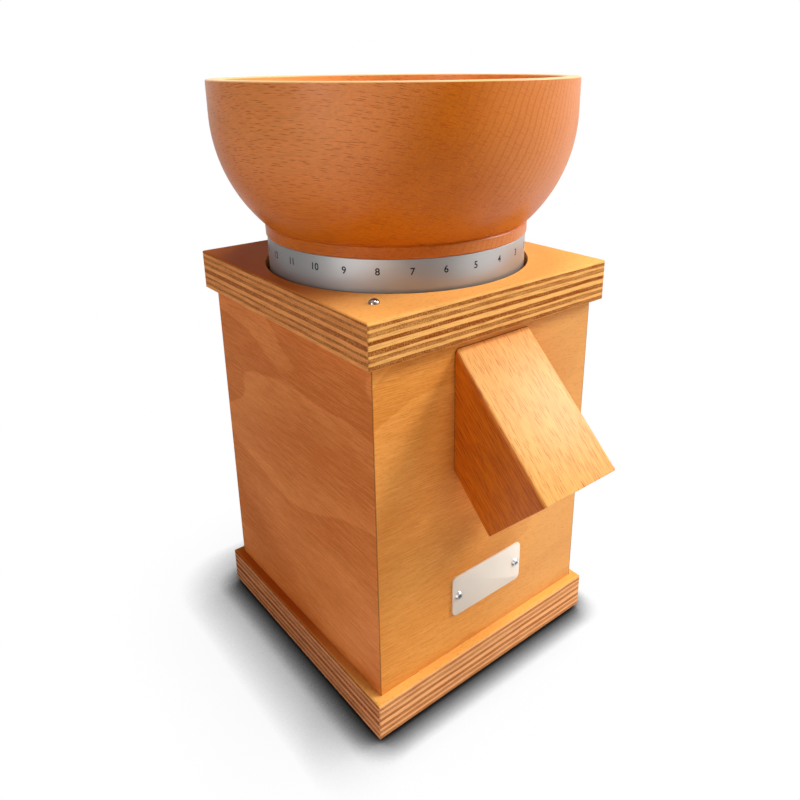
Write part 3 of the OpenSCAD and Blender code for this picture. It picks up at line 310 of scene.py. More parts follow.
def beech(name, along, across, light, dark, fleck, ring, ring_depth, ray, fibre_gain, gloss,
          roughness=0.40, deep=None, painted_sheen=None, ends=None, painted_inside_light=None, joint=None, lip=None):
    """Solid beech: fibres and ray flecks along the grain, and the lines of the growth rings.

    light and dark are the wood's two tones, and fleck is the rays' colour.
    ring is the rings' spacing, and ring_depth how dark their lines are beside the grain and on its ends.
    ray is the rays' length, their spacing, the share that shows, how strongly, and their thickness.
    fibre_gain is how strongly the fibres show, and gloss the level of the sheen.
    deep gives the two tones and the rays' colour on the faces square to the object's x axis: darker, redder
    tones that are painted shade on these sides.
    painted_sheen gives where across the rings a painted sheen starts to pale the wood and where it is full,
    and its two tones.
    ends is the end grain's colour, and painted_inside_light a paler colour painted as light on the faces
    that look up or toward the z axis.
    joint is the y at which the piece meets a wall; a dark joint line is painted there, partly as contact
    shade.
    lip gives the height above which a painted highlight makes the lip paler, and its colour.
    """
    m = Material(name)
    along, across = Vector(along).normalized(), Vector(across).normalized()
    grain = m.grain_space(along, across)
    rings = m.split(grain)[1]
    end = m.between(m.facing(along), 0.70, 0.97)
    flat = m.between(m.facing(along.cross(across)), 0.75, 0.97)

    drift = m.noise(grain, (120, 40, 60))
    saw = m.math("FRACT", m.math("MULTIPLY_ADD", drift, 3.5, m.math("DIVIDE", rings, ring)))
    line = m.math("MULTIPLY", m.between(saw, 0.6, 0.94), m.between(saw, 1.0, 0.96))
    depth = m.math("MULTIPLY_ADD", end, ring_depth[1] - ring_depth[0], ring_depth[0])
    fibre = fibres(m, grain)
    swell = m.noise(grain, (70, 16, 22))
    lines = m.noise(grain, (22, 0.6, 0.6), 1.0)
    streak = m.between(fibres(m, m.vector("ADD", grain, (3, 5, 7)), 26.0, 0.7), 0.52, 0.72)
    tone = summed(
        m, 0.28, m.math("MULTIPLY", line, depth), centred(m, fibre, fibre_gain), centred(m, swell, 0.5),
        centred(m, lines, fibre_gain), m.math("MULTIPLY", streak, 0.35),
    )

    # the rays are weaker where a face cuts them flat or ends the grain
    length, pitch, share, strength, thickness = ray
    marks = flecks(m, grain, length, pitch, share, fat=thickness)
    weaker = m.math("MULTIPLY_ADD", m.math("MAXIMUM", end, flat), -0.6 * strength, strength)
    marks = m.math("MULTIPLY", marks, weaker)

    colour = m.mix(tone, light, dark)
    # painted shade: the faces square to the x axis take the darker, redder tones and rays given in deep
    if deep:
        side = m.between(m.facing((1, 0, 0)), 0.45, 0.85)
        colour = m.mix(side, colour, m.mix(tone, *deep[:2]))
        fleck = m.mix(side, fleck, deep[2])
    # painted sheen: a paler zone across the rings, on the bowl's left side
    if painted_sheen:
        colour = m.tint(colour, m.mix(tone, *painted_sheen[1:]), m.between(rings, *painted_sheen[0]), 0.9)
    if ends:
        colour = m.tint(colour, m.tint(ends, dark, tone, 0.5), end, 0.8)
    # painted light: the bowl's inside and the faces that look up are made paler
    if painted_inside_light:
        outward = m.vector("DOT_PRODUCT", m.normal, m.vector("MULTIPLY", m.place, (1 / MM, 1 / MM, 0)))
        upward = m.split(m.normal)[2]
        within = m.math("MAXIMUM", m.between(outward, -5, -40), m.between(upward, 0.6, 0.9))
        colour = m.tint(colour, painted_inside_light, within, 0.8)
    colour = m.mix(marks, colour, fleck)
    # a dark joint line where the chute meets the wall, partly painted contact shade
    if joint:
        near = m.between(m.split(m.place)[1], joint - WALL_SEAM_SHADE[0], joint - WALL_SEAM_SHADE[1])
        colour = m.tint(colour, SEAM, near, 0.8)
    # painted highlight along the top of the lip
    if lip:
        above = m.between(m.split(m.place)[2], lip[0], lip[0] + LIP_HIGHLIGHT_FADE)
        colour = m.tint(colour, lip[1], above, 0.75)
    rough = m.math("MULTIPLY_ADD", fibre, 0.16, roughness - 0.08)
    normal = m.bump(m.math("MULTIPLY_ADD", marks, -0.35, fibre), SOLID_RELIEF)
    return m.finish(colour, rough, normal, Specular_IOR_Level=gloss)


def veneer(name, along, up, light, dark, fleck, bands, strength, size=(150, 90), painted_light=None):
    """Flat-cut beech veneer: broad soft contours, each with one crisper side, over fine grain.

    light and dark are its two tones, and fleck is the colour of its pores. bands and size give how many
    contours there are and how far they stretch, and strength how dark they are. painted_light gives where
    along the grain the sheet starts to turn paler with painted light, where it is palest, and its colour
    there.
    """
    m = Material(name)
    grain = m.grain_space(along, up)
    field = m.noise(grain, (*size, 400), 2.0, 0.35, 0.25)
    saw = m.math("FRACT", m.math("MULTIPLY", field, bands))
    contour = m.math("MULTIPLY", m.between(saw, 0.0, 0.95), m.between(saw, 1.0, 0.96))
    fibre = fibres(m, grain)
    shade = m.noise(grain, (90, 50, 60))
    lines = m.noise(grain, (14, 0.6, 0.6), 1.0)
    pores = flecks(m, grain, *PORES, thin=1)
    tone = summed(
        m, 0.3, m.math("MULTIPLY", contour, strength), centred(m, fibre, 1.5), centred(m, shade, 1.0),
        centred(m, lines, 1.3),
    )
    colour = m.mix(tone, light, dark)
    # painted light: the sheet turns paler along the grain toward +x, where more light falls
    if painted_light:
        colour = m.tint(colour, painted_light[2], m.between(m.split(grain)[0], *painted_light[:2]), 0.6)
    colour = m.tint(colour, fleck, pores, 0.45)
    # the mitred corners show as thin dark seams
    across, deep, _ = m.split(m.place)
    from_x = m.math("SUBTRACT", front_high.x, m.math("ABSOLUTE", across))
    from_y = m.math("SUBTRACT", back_high.y, m.math("ABSOLUTE", deep))
    corner = m.between(m.math("MAXIMUM", from_x, from_y), *MITRE_SEAM)
    colour = m.tint(colour, SEAM, corner, 0.6)
    rough = m.math("MULTIPLY_ADD", fibre, 0.14, 0.42)
    normal = m.bump(m.math("MULTIPLY_ADD", pores, -0.3, fibre), VENEER_RELIEF)
    return m.finish(colour, rough, normal, Specular_IOR_Level=0.08)


# thickness in millimetres and lightness of each ply on the front and back edges, from the top down
PLIES = [
    (1.5, 0.95), (1.8, 0.20), (1.4, 0.85), (2.2, 0.34), (1.9, 0.88), (2.0, 0.10), (2.7, 1.0),
    (2.3, 0.12), (1.3, 0.90), (2.2, 0.30), (1.7, 0.86), (2.2, 0.18), (0.8, 0.90),
]
# painted shade of the bowl on the face sheets: where y less x, in millimetres, it starts and where it is
# full
BOWL_SHADE = (-10, 100)
BOWL_SHADE_COLOUR = (0.60, 0.115, 0.005)
BOWL_SHADE_STRENGTH = 0.88


def ply_tone(m, depth, swapped):
    """How light the ply at this depth in millimetres is. Swapped, the light plies are the dark ones."""
    total = sum(thickness for thickness, _ in PLIES)
    stops, edge = [], 0.0
    for thickness, tone in PLIES:
        if swapped:
            tone = 0.95 - 0.85 * tone
        stops.append((edge / total, 3 * (tone,)))
        edge += thickness
    return m.steps(m.math("DIVIDE", depth, total), stops)


def plywood(name, z_face, front, side, face, fleck):
    """Plywood: beech faces, and plies on the edges that swap light for dark round the corner.

    front, side and face are the light and dark tones on the front and back edges, on the side edges and on
    the flat faces. fleck is the colour of the pores there, and z_face the height of the upper face.
    """
    m = Material(name)
    place = m.measured(m.place, (MM, MM, MM))
    across, along, height = m.split(place)
    wave = m.noise(place, (35, 35, 6))
    depth = m.math("ADD", m.math("SUBTRACT", z_face / MM, height), centred(m, wave, 1.0))
    on_front = m.between(m.facing((0, 1, 0)), 0.5, 0.8)
    tone = m.mix(on_front, ply_tone(m, depth, swapped=True), ply_tone(m, depth, swapped=False))
    streaks = m.noise(place, (9, 9, 0.45), 3.0, 0.65)
    specks = m.noise(place, (0.7, 0.7, 0.9), 2.0, 0.6)
    smudge = m.noise(place, (18, 18, 1.6))
    # the dark plies show their end grain: speckled where the light ones are streaked
    grainy = m.mix(tone, specks, streaks)
    value = summed(m, tone, centred(m, grainy, 1.8), centred(m, smudge, 0.8))
    light, dark = (m.mix(on_front, *pair) for pair in zip(side, front))
    edge_colour = m.mix(value, dark, light)

    grain = m.grain_space((1, 0.06, 0), (0, 0, 1))
    fibre = m.noise(grain, (9, 0.5, 0.5), 3.0, 0.65)
    broad = m.noise(grain, (90, 40, 30))
    face_tone = m.math("ADD", m.math("MULTIPLY", fibre, 0.55), m.math("MULTIPLY", broad, 0.7))
    face_colour = m.mix(m.math("SUBTRACT", face_tone, 0.25, clamp=True), *face)
    # painted shade of the bowl, deepening toward the far left corner
    bowl_shade = m.between(m.math("SUBTRACT", along, across), *BOWL_SHADE)
    face_colour = m.tint(face_colour, BOWL_SHADE_COLOUR, bowl_shade, BOWL_SHADE_STRENGTH)
    face_colour = m.tint(face_colour, fleck, flecks(m, grain, *PORES), 0.5)

    flat = m.between(m.facing((0, 0, 1)), 0.5, 0.75)
    relief = m.math("ADD", m.math("MULTIPLY", streaks, 0.6), m.math("MULTIPLY", tone, 0.5))
    rough = m.math("ADD", m.math("MULTIPLY", streaks, 0.2), 0.40)
    normal = m.bump(relief, SOLID_RELIEF)
    return m.finish(m.mix(flat, edge_colour, face_colour), rough, normal, Specular_IOR_Level=0.02)


wood_chute = beech(
    "oiled_beech_chute", along=(0, -0.725, -0.688), across=(-0.707, -0.487, 0.513),
    light=(0.90, 0.43, 0.108), dark=(0.66, 0.255, 0.050), fleck=(0.44, 0.105, 0.012),
    ring=14, ring_depth=(0.05, 0.15), ray=(6.0, 1.05, 0.95, 1.0, 0.11),
    fibre_gain=1.7, gloss=0.22, joint=front_low.y,
    # the darker tones on the sides, square to x, are painted shade
    deep=((0.64, 0.152, 0.005), (0.36, 0.050, 0.001), (0.22, 0.030, 0.001)),
)
wood_bowl = beech(
    "turned_beech", along=(0.344, -0.939, 0), across=(0.939, 0.344, -0.35),
    light=(0.72, 0.175, 0.003), dark=(0.47, 0.085, 0.001), fleck=(0.44, 0.062, 0.002),
    ring=3.6, ring_depth=(0.08, 0.55), ray=(4.8, 1.05, 0.95, 0.85, 0.125),
    fibre_gain=0.8, roughness=0.36, gloss=0.25,
    # a painted sheen on the bowl's left side
    painted_sheen=((-176, -202), (0.97, 0.33, 0.095), (0.72, 0.215, 0.052)),
    ends=(0.72, 0.24, 0.045), painted_inside_light=(0.95, 0.42, 0.12),
    lip=(bowl_high.z - LIP_HIGHLIGHT_H, (1.0, 0.62, 0.26)),
)
wood_front = veneer(
    "beech_veneer_front", along=(1, 0, -0.05), up=(0.05, 0, 1),
    light=(0.95, 0.40, 0.086), dark=(0.74, 0.25, 0.036), fleck=(0.44, 0.12, 0.014),
    # paler toward +x: painted light
    bands=5, strength=0.4, painted_light=(-40, 60, (0.84, 0.435, 0.145)),
)
# the side walls' veneer: its own figure, and darker, redder tones than the front's that are painted shade
wood_side_shaded = veneer(
    "beech_veneer_side", along=(0, 1, 0.04), up=(0, -0.04, 1),
    light=(0.92, 0.300, 0.073), dark=(0.68, 0.165, 0.026), fleck=(0.42, 0.085, 0.009),
    bands=6, strength=0.5, size=(210, 80),
)
ply_top = plywood(
    "plywood_top", deck_high.z,
    front=((1.0, 0.52, 0.150), (0.29, 0.056, 0.005)), side=((1.0, 0.41, 0.12), (0.42, 0.110, 0.027)),
    face=((1.0, 0.52, 0.15), (0.86, 0.32, 0.052)), fleck=(0.46, 0.12, 0.014),
)
ply_base = plywood(
    "plywood_base", base_high.z,
    front=((0.96, 0.50, 0.21), (0.46, 0.135, 0.035)), side=((0.82, 0.34, 0.14), (0.28, 0.070, 0.020)),
    face=((0.98, 0.52, 0.14), (0.82, 0.34, 0.055)), fleck=(0.46, 0.12, 0.014),
)

# ---- Other finishes ----

# the spacing and depth of the lines that a lathe or a brush leaves on metal
HAIR_LINE = 0.25 * MM
METAL_RELIEF = 0.004 * MM


def plain(name, colour, spread, roughness, grain_size, bump=0.0, **constants):
    """A finish with a fine uneven tone and gloss: cast, moulded, plated or ground.

    spread is how much darker its darkest tone is, and grain_size and bump are the size and the depth of
    its grain, in millimetres.
    """
    m = Material(name)
    fine = m.noise(m.place, 3 * (grain_size * MM,), 3.0, 0.6)
    broad = m.noise(m.place, (25 * MM, 25 * MM, 25 * MM))
    uneven = m.math("ADD", m.math("MULTIPLY", fine, 0.6), m.math("MULTIPLY", broad, 0.4))
    shade = tuple(c * (1 - spread) for c in colour)
    normal = m.bump(fine, bump * MM) if bump else None
    rough = m.math("ADD", m.math("MULTIPLY", fine, 0.12), roughness - 0.06)
    return m.finish(m.mix(uneven, shade, colour), rough, normal, **constants)


def turned_metal(name, colour, roughness):
    """Metal turned on a lathe about the z axis: hair lines run round it."""
    m = Material(name)
    radius = m.vector("LENGTH", m.vector("MULTIPLY", m.place, (1, 1, 0)))
    height = m.split(m.place)[2]
    lines = m.noise(m.joined(radius, 0, height), 3 * (HAIR_LINE,), 3.0, 0.7)
    broad = m.noise(m.place, (1 / 30, 1 / 30, 1 / 60))
    tone = m.math("ADD", m.math("MULTIPLY", lines, 0.5), m.math("MULTIPLY", broad, 0.5))
    shade = tuple(0.86 * c for c in colour)
    rough = m.math("ADD", m.math("MULTIPLY", lines, 0.12), roughness - 0.06)
    return m.finish(m.mix(tone, shade, colour), rough, m.bump(lines, METAL_RELIEF), Metallic=0.75)


def brushed_plate(name, colour, roughness):
    """Thin metal sheet, brushed level."""
    m = Material(name)
    lines = m.noise(m.place, (1 / 60, 1 / 60, 1 / 5200), 3.0, 0.7)
    shade = tuple(0.88 * c for c in colour)
    rough = m.math("ADD", m.math("MULTIPLY", lines, 0.16), roughness - 0.08)
    return m.finish(m.mix(lines, shade, colour), rough, m.bump(lines, METAL_RELIEF), Metallic=0.15)


ALUMINIUM = turned_metal("satin_aluminium", (0.44, 0.435, 0.43), 0.42)
BADGE = brushed_plate("badge_metal", (0.94, 0.84, 0.72), 0.42)
CHROME = plain("chrome", (0.82, 0.81, 0.80), 0.05, 0.1, 2.0, Metallic=1.0)
# painted reflection: chrome darkened to stand in for the dark room that the pin reflects
CHROME_DARK_REFLECTION = plain("dark_chrome", (0.34, 0.29, 0.25), 0.1, 0.12, 2.0, Metallic=1.0)
STEEL = plain("zinc_steel", (0.60, 0.61, 0.62), 0.18, 0.3, 0.8, 0.004, Metallic=1.0)
CAST = plain("cast_metal", (0.55, 0.56, 0.57), 0.2, 0.45, 0.6, 0.02, Metallic=1.0)
RUBBER = plain("rubber", (0.035, 0.035, 0.036), 0.3, 0.75, 0.5, 0.02)
BLACK = plain("black_plastic", (0.022, 0.022, 0.024), 0.25, 0.42, 0.35, 0.01)
WHITE = plain("white_plastic", (0.80, 0.79, 0.75), 0.06, 0.4, 0.6, 0.006)
PAINT = plain("paint_white", (0.78, 0.78, 0.76), 0.05, 0.5, 1.0)
INK = plain("ink", (0.012, 0.012, 0.014), 0.2, 0.6, 0.6, Specular_IOR_Level=0.2)
STONE = plain("millstone", (0.62, 0.58, 0.52), 0.45, 0.85, 0.9, 0.15)
COPPER = plain("copper_wire", (0.72, 0.30, 0.14), 0.25, 0.35, 0.7, 0.03, Metallic=1.0)
LAMINATION = plain("laminations", (0.22, 0.22, 0.24), 0.3, 0.5, 0.4, 0.02, Metallic=0.8)
FELT = plain("felt", (0.50, 0.43, 0.34), 0.3, 0.95, 0.4, 0.08)
BRASS = plain("brass", (0.76, 0.58, 0.26), 0.15, 0.3, 0.7, Metallic=1.0)
LEAD = plain("lead_insulation", (0.24, 0.11, 0.05), 0.2, 0.4, 0.8)
DOWEL = plain("dowel_wood", (0.72, 0.52, 0.30), 0.3, 0.6, 0.5, 0.02)

FINISHES = {
    "wall_veneer": wood_front, "solid_beech": wood_chute, "turned_beech": wood_bowl,
    "dowel_wood": DOWEL, "scale_aluminium": ALUMINIUM, "plate_metal": BADGE, "cast_metal": CAST,
    "steel": STEEL, "bright_steel": CHROME, "millstone": STONE, "copper": COPPER,
    "laminations": LAMINATION, "rubber": RUBBER, "black_plastic": BLACK, "white_plastic": WHITE,
    "felt": FELT, "brass": BRASS, "lead_insulation": LEAD,
}
OWN_FINISHES = {
    "top_plate": ply_top, "base_plate": ply_base, "left_wall": wood_side_shaded, "right_wall": wood_side_shaded,
}


def dress_nodes():
    """Gives every CAD node its finish: its own, or else that of the record's material slot."""
    for row in frame["record"]["subparts"]:
        node = frame["nodes"][row["node"]]
        finish = OWN_FINISHES.get(row["node"]) or FINISHES[row["material_slot"]]
        node.data.materials.clear()
        node.data.materials.append(finish)


dress_nodes()

# ---- Mesh helpers ----

WELD = 0.001 * MM


def piece(name, mesh, finish, body, slot, *nodes):
    """An object from a mesh, riding on a body and standing for CAD nodes."""
    obj = placed(name, mesh)
    mesh.materials.append(finish)
    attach(obj, body)
    if nodes:
        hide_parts(*nodes)


def raw_mesh(bm, name):
    mesh = bpy.data.meshes.new(name)
    bm.to_mesh(mesh)
    bm.free()
    return mesh


def as_mesh(bm, name, sharp):
    """The finished mesh: outward normals, smooth but for its sharp edges."""
    bmesh.ops.recalc_face_normals(bm, faces=bm.faces)
    mesh = raw_mesh(bm, name)
    mesh.shade_smooth()
    mesh.set_sharp_from_angle(angle=math.radians(sharp))
    return mesh


def node_shape(name):
    """A CAD node's own shape, with its doubled corners welded."""
    bm = bmesh.new()
    bm.from_mesh(frame["nodes"][name].data)
    bmesh.ops.remove_doubles(bm, verts=bm.verts, dist=WELD)
    return bm


def applied(obj):
    """The object's mesh, with its modifiers or its text made up."""
    bpy.context.view_layer.update()
    return bpy.data.meshes.new_from_object(obj.evaluated_get(bpy.context.evaluated_depsgraph_get()))


def lathe(profile, steps, closed=True):
    """Turns (radius, height) points about the z axis. Closed profiles come back to their first point."""
    bm = bmesh.new()
    rings = []
    for r, z in profile:
        if r < WELD:
            rings.append([bm.verts.new((0, 0, z))])
            continue
        angles = (math.tau * i / steps for i in range(steps))
        rings.append([bm.verts.new((r * math.cos(a), r * math.sin(a), z)) for a in angles])
    count = len(rings) if closed else len(rings) - 1
    for i in range(count):
        a, b = rings[i], rings[(i + 1) % len(rings)]
        for k in range(steps):
            n = (k + 1) % steps
            corners = [a[k % len(a)], a[n % len(a)], b[n % len(b)], b[k % len(b)]]
            corners = list(dict.fromkeys(corners))
            if len(corners) > 2:
                bm.faces.new(corners)
    return bm


def arc(centre, radius, start, end, steps):
    """Points on an arc, angles in degrees."""
    points = []
    for i in range(steps + 1):
        a = math.radians(start + (end - start) * i / steps)
        points.append((centre[0] + radius * math.cos(a), centre[1] + radius * math.sin(a)))
    return points


def rounded_outline(w, h, r, steps=6):
    """A rectangle about the origin, with rounded corners."""
    points = []
    for cx, cy, start in ((1, 1, 0), (-1, 1, 90), (-1, -1, 180), (1, -1, 270)):
        points += arc((cx * (w / 2 - r), cy * (h / 2 - r)), r, start, start + 90, steps)
    return points


def prism(outline, low, high, place):
    """A closed prism: outline in the first two axes, from low to high along the third."""
    bm = bmesh.new()
    ends = [[bm.verts.new(place @ Vector((x, y, z))) for x, y in outline] for z in (low, high)]
    bm.faces.new(list(reversed(ends[0])))
    bm.faces.new(ends[1])
    for i in range(len(outline)):
        n = (i + 1) % len(outline)
        bm.faces.new((ends[0][i], ends[0][n], ends[1][n], ends[1][i]))
    return bm


# ---- Hopper bowl ----

RIM_R = min(bowl_high.x, bowl_high.y)
SIDE_R = 81.7 * MM
SIDE_AXIS = (RIM_R - SIDE_R, bowl_high.z - 18 * MM)
SIDE_START = 0.3 * MM
BOWL_T = 8 * MM
LIP_R = 0.9 * MM
LIP_H = 8 * MM
BAND_R = 76 * MM
BAND_H = 7 * MM
BAND_EDGE = 0.6 * MM
BAND_SWELL = 0.15 * MM
BAND_SHOULDER = (0.2 * MM, 0.4 * MM)
GROOVE_DEPTH = 0.7 * MM
GROOVE_H = 1.0 * MM
BOWL_FLOOR_Z = bowl_low.z + 10.5 * MM
BORE_R = 15.45 * MM
THROAT_R = 22.05 * MM
THROAT_EDGE = (0.4 * MM, 0.2 * MM)
FLOOR_SLOPE = math.tan(math.radians(8.5))


def side_angle(z, radius):
    """The angle at height z on an arc about the side's axis, in degrees, below zero under the axis."""
    return math.degrees(math.asin((z - SIDE_AXIS[1]) / radius))


def hopper_bowl():
    """The turned bowl: a band at its foot, a groove over it, a round side, a lip and a sloped floor."""
    inner_r = SIDE_R - BOWL_T
    side_low_z = BOWL_FLOOR_Z + FLOOR_SLOPE * (BAND_R - THROAT_R)
    foot_top = bowl_low.z + BAND_H
    lip_z = bowl_high.z - LIP_R
    profile = [(BORE_R, bowl_low.z), (BAND_R - BAND_EDGE, bowl_low.z), (BAND_R, bowl_low.z + BAND_EDGE)]
    profile += [(BAND_R + BAND_SWELL, foot_top - GROOVE_H)]
    profile += [(BAND_R - BAND_SHOULDER[0], foot_top - BAND_SHOULDER[1])]
    profile += [(BAND_R - GROOVE_DEPTH, foot_top)]
    profile += arc(SIDE_AXIS, SIDE_R, side_angle(foot_top + SIDE_START, SIDE_R), 0, 40)
    profile += [(RIM_R, lip_z - LIP_H)]
    profile += arc((RIM_R - LIP_R, lip_z), LIP_R, 0, 90, 8)
    profile += arc((RIM_R - BOWL_T + LIP_R, lip_z), LIP_R, 90, 180, 8)
    profile += [(RIM_R - BOWL_T, lip_z - LIP_H)]
    profile += arc(SIDE_AXIS, inner_r, 0, side_angle(side_low_z, inner_r), 32)
    profile += [(THROAT_R + THROAT_EDGE[0], BOWL_FLOOR_Z + THROAT_EDGE[1])]
    profile += [(THROAT_R, BOWL_FLOOR_Z), (BORE_R, BOWL_FLOOR_Z)]
    mesh = as_mesh(lathe(profile, 256), "hopper_bowl_turned", 24)
    piece("hopper_bowl_turned", mesh, wood_bowl, "hopper", "turned_beech", "hopper_bowl")


hopper_bowl()

# ---- Scale ring and its numbers ----

RING_R = ring_high.x
RING_WALL = 3 * MM
RING_BEVEL = 0.35 * MM
NUMBER_H = 3.8 * MM
NUMBER_Z = ring_high.z - 6.3 * MM
NUMBER_OUT = 0.03 * MM
NUMBERS = range(1, 21)
NUMBER_STEP = math.tau / 27
NUMBER_AT_PIN = 8
PIN_ANGLE = math.radians(225)
# shares of the digits' height: the font's size, and how much bolder the strokes are made
FONT_SIZE = 1.37
FONT_WEIGHT = 0.022


def scale_ring():
    inner = RING_R - RING_WALL
    profile = [(RING_R, ring_low.z + RING_BEVEL), (RING_R, ring_high.z - RING_BEVEL)]
    profile += [(RING_R - RING_BEVEL, ring_high.z), (inner + RING_BEVEL, ring_high.z)]
    profile += [(inner, ring_high.z - RING_BEVEL), (inner, ring_low.z + RING_BEVEL)]
    profile += [(inner + RING_BEVEL, ring_low.z), (RING_R - RING_BEVEL, ring_low.z)]
    mesh = as_mesh(lathe(profile, 256), "scale_ring_turned", 24)
    piece("scale_ring_turned", mesh, ALUMINIUM, "hopper", "scale_aluminium", "scale_ring")


def glyphs(text, height):
    """The flat mesh of a short text, centred about the z axis."""
    curve = bpy.data.curves.new("glyphs", "FONT")
    curve.body = text
    curve.size = FONT_SIZE * height
    curve.align_x = "CENTER"
    curve.resolution_u = 6
    curve.offset = FONT_WEIGHT * height
    obj = placed("glyphs", curve)
    mesh = applied(obj)
    bpy.data.objects.remove(obj)
    bpy.data.curves.remove(curve)
    return mesh


def scale_numbers():
    """The printed numbers, wrapped round the ring."""
    bm = bmesh.new()
    r = RING_R + NUMBER_OUT
    for number in NUMBERS:
        start = len(bm.verts)
        mesh = glyphs(str(number), NUMBER_H)
        bm.from_mesh(mesh)
        bpy.data.meshes.remove(mesh)
        bm.verts.ensure_lookup_table()
        middle = PIN_ANGLE + (NUMBER_AT_PIN - number) * NUMBER_STEP
        for vert in bm.verts[start:]:
            angle = middle + vert.co.x / r
            vert.co = (r * math.cos(angle), r * math.sin(angle), NUMBER_Z + vert.co.y - NUMBER_H / 2)
    for face in bm.faces:
        face.normal_update()
        if face.normal.dot(face.calc_center_median()) < 0:
            face.normal_flip()
    piece("scale_numbers", raw_mesh(bm, "scale_numbers"), INK, "hopper", "scale_aluminium")


scale_ring()
scale_numbers()

# ---- Index pin ----

# shares of the dome's radius: how deep its middle lies under the deck, and how thick its shank is
PIN_SINK = 0.15
PIN_SHANK = 0.6
PIN_BED = 0.05 * MM


def index_pin():
    """A shank in the deck and a dome on it, whose rim lies just under the deck's surface."""
    centre = (pin_low + pin_high) / 2
    r = (pin_high.x - pin_low.x) / 2
    sink = PIN_SINK * r
    shank = PIN_SHANK * r
    rim_z = deck_high.z - PIN_BED
    profile = [(0.0, pin_low.z), (shank, pin_low.z), (shank, rim_z), (math.sqrt(r * r - sink * sink), rim_z)]
    profile += arc((0, deck_high.z - sink), r, math.degrees(math.asin(PIN_SINK)), 90, 14)
    profile[-1] = (0.0, deck_high.z - sink + r)
    mesh = as_mesh(lathe(profile, 48, closed=False), "index_pin_dome", 30)
    mesh.transform(Matrix.Translation((centre.x, centre.y, 0)))
    piece("index_pin_dome", mesh, CHROME_DARK_REFLECTION, "case", "bright_steel", "index_pin")


index_pin()

# ---- Chute ----

CHUTE_ANGLE = math.radians(43.5)
CHUTE_W = chute_high.x - chute_low.x
CHUTE_T = 52.6 * MM
CHUTE_LEN = 89 * MM
CHUTE_DROP = 4 * MM
CHUTE_EDGE = 2.5 * MM
CHUTE_END = math.radians(45)
CHANNEL_W = 34 * MM
CHANNEL_T = 30 * MM
CHANNEL_EDGE = 0.8 * MM
END_BEVEL = 0.8 * MM


def cut_and_bevel(mesh, cutter, width, limit):
    """The mesh less the cutter, with the edges sharper than the limit rounded off."""
    body, tool = placed("body", mesh), placed("tool", cutter)
    boolean = body.modifiers.new("cut", "BOOLEAN")
    boolean.operation = "DIFFERENCE"
    boolean.solver = "EXACT"
    boolean.object = tool
    bevel = body.modifiers.new("soften", "BEVEL")
    bevel.width = width
    bevel.segments = 3
    bevel.limit_method = "ANGLE"
    bevel.angle_limit = math.radians(limit)
    result = applied(body)
    for obj in (body, tool):
        bpy.data.objects.remove(obj)
    return result


def cut_off(bm, at, outward):
    """Cuts away what lies outside a plane and closes the cut."""
    geometry = bm.verts[:] + bm.edges[:] + bm.faces[:]
    result = bmesh.ops.bisect_plane(bm, geom=geometry, plane_co=at, plane_no=outward, clear_outer=True)
    rim = [item for item in result["geom_cut"] if isinstance(item, bmesh.types.BMEdge)]
    bmesh.ops.contextual_create(bm, geom=rim)


def chute():
    """The slanted block, cut off at its tip and at the wall, with the flour's channel through it."""
    slope = Matrix.Rotation(CHUTE_ANGLE, 4, "X")
    middle_z = deck_low.z - CHUTE_DROP - CHUTE_T / 2 / math.cos(CHUTE_ANGLE)
    frame_at = Matrix.Translation((0, front_low.y, middle_z)) @ slope
    # the prism runs out along the frame's -Y, and past both cuts
    down = frame_at @ Matrix.Rotation(math.radians(90), 4, "X")
    over = 2 * CHUTE_T
    block = prism(rounded_outline(CHUTE_W, CHUTE_T, CHUTE_EDGE), -over, CHUTE_LEN + over, down)
    tip = Vector((
        0,
        front_low.y - CHUTE_LEN * math.cos(CHUTE_ANGLE),
        deck_low.z - CHUTE_DROP - CHUTE_LEN * math.sin(CHUTE_ANGLE),
    ))
    cut_off(block, tip, Vector((0, -math.cos(CHUTE_END), -math.sin(CHUTE_END))))
    cut_off(block, Vector((0, front_low.y, 0)), Vector((0, 1, 0)))
    channel = rounded_outline(CHANNEL_W, CHANNEL_T, CHANNEL_EDGE, 2)
    hole = prism(channel, -2 * CHUTE_LEN, 2 * CHUTE_LEN, down)
    for bm in (block, hole):
        bmesh.ops.recalc_face_normals(bm, faces=bm.faces)
    done = cut_and_bevel(raw_mesh(block, "chute_block"), raw_mesh(hole, "chute_channel"), END_BEVEL, 40)
    bm = bmesh.new()
    bm.from_mesh(done)
    mesh = as_mesh(bm, "chute_block_softened", 30)
    piece("chute_block_softened", mesh, wood_chute, "case", "solid_beech", "chute")


chute()

# ---- Plates and switch, with softened outer edges ----

DECK_EDGE = 0.8 * MM
BASE_EDGE = 0.6 * MM
SWITCH_EDGE = 0.4 * MM
ON_LIMIT = 0.01 * MM


def softened(name, node_name, width, finish, body, slot):
    """The node's own shape, with the edges of its outer box rounded off."""
    low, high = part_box(node_name)
    bm = node_shape(node_name)
    bmesh.ops.dissolve_limit(bm, angle_limit=math.radians(1), verts=bm.verts, edges=bm.edges)

    def outer(edge):
        """Whether the edge lies along an edge of the box."""
        sides = 0
        for axis in range(3):
            for limit in (low[axis], high[axis]):
                sides += all(abs(vert.co[axis] - limit) < ON_LIMIT for vert in edge.verts)
        return sides == 2

    edges = [edge for edge in bm.edges if outer(edge)]
    bmesh.ops.bevel(
        bm, geom=edges, offset=width, segments=3, profile=0.5, affect="EDGES", clamp_overlap=True,
    )
    piece(name, as_mesh(bm, name, 12), finish, body, slot, node_name)


softened("top_plate_softened", "top_plate", DECK_EDGE, ply_top, "case", "plywood")
softened("base_plate_softened", "base_plate", BASE_EDGE, ply_base, "case", "plywood")
softened("switch_housing_softened", "switch_housing", SWITCH_EDGE, BLACK, "case", "black_plastic")

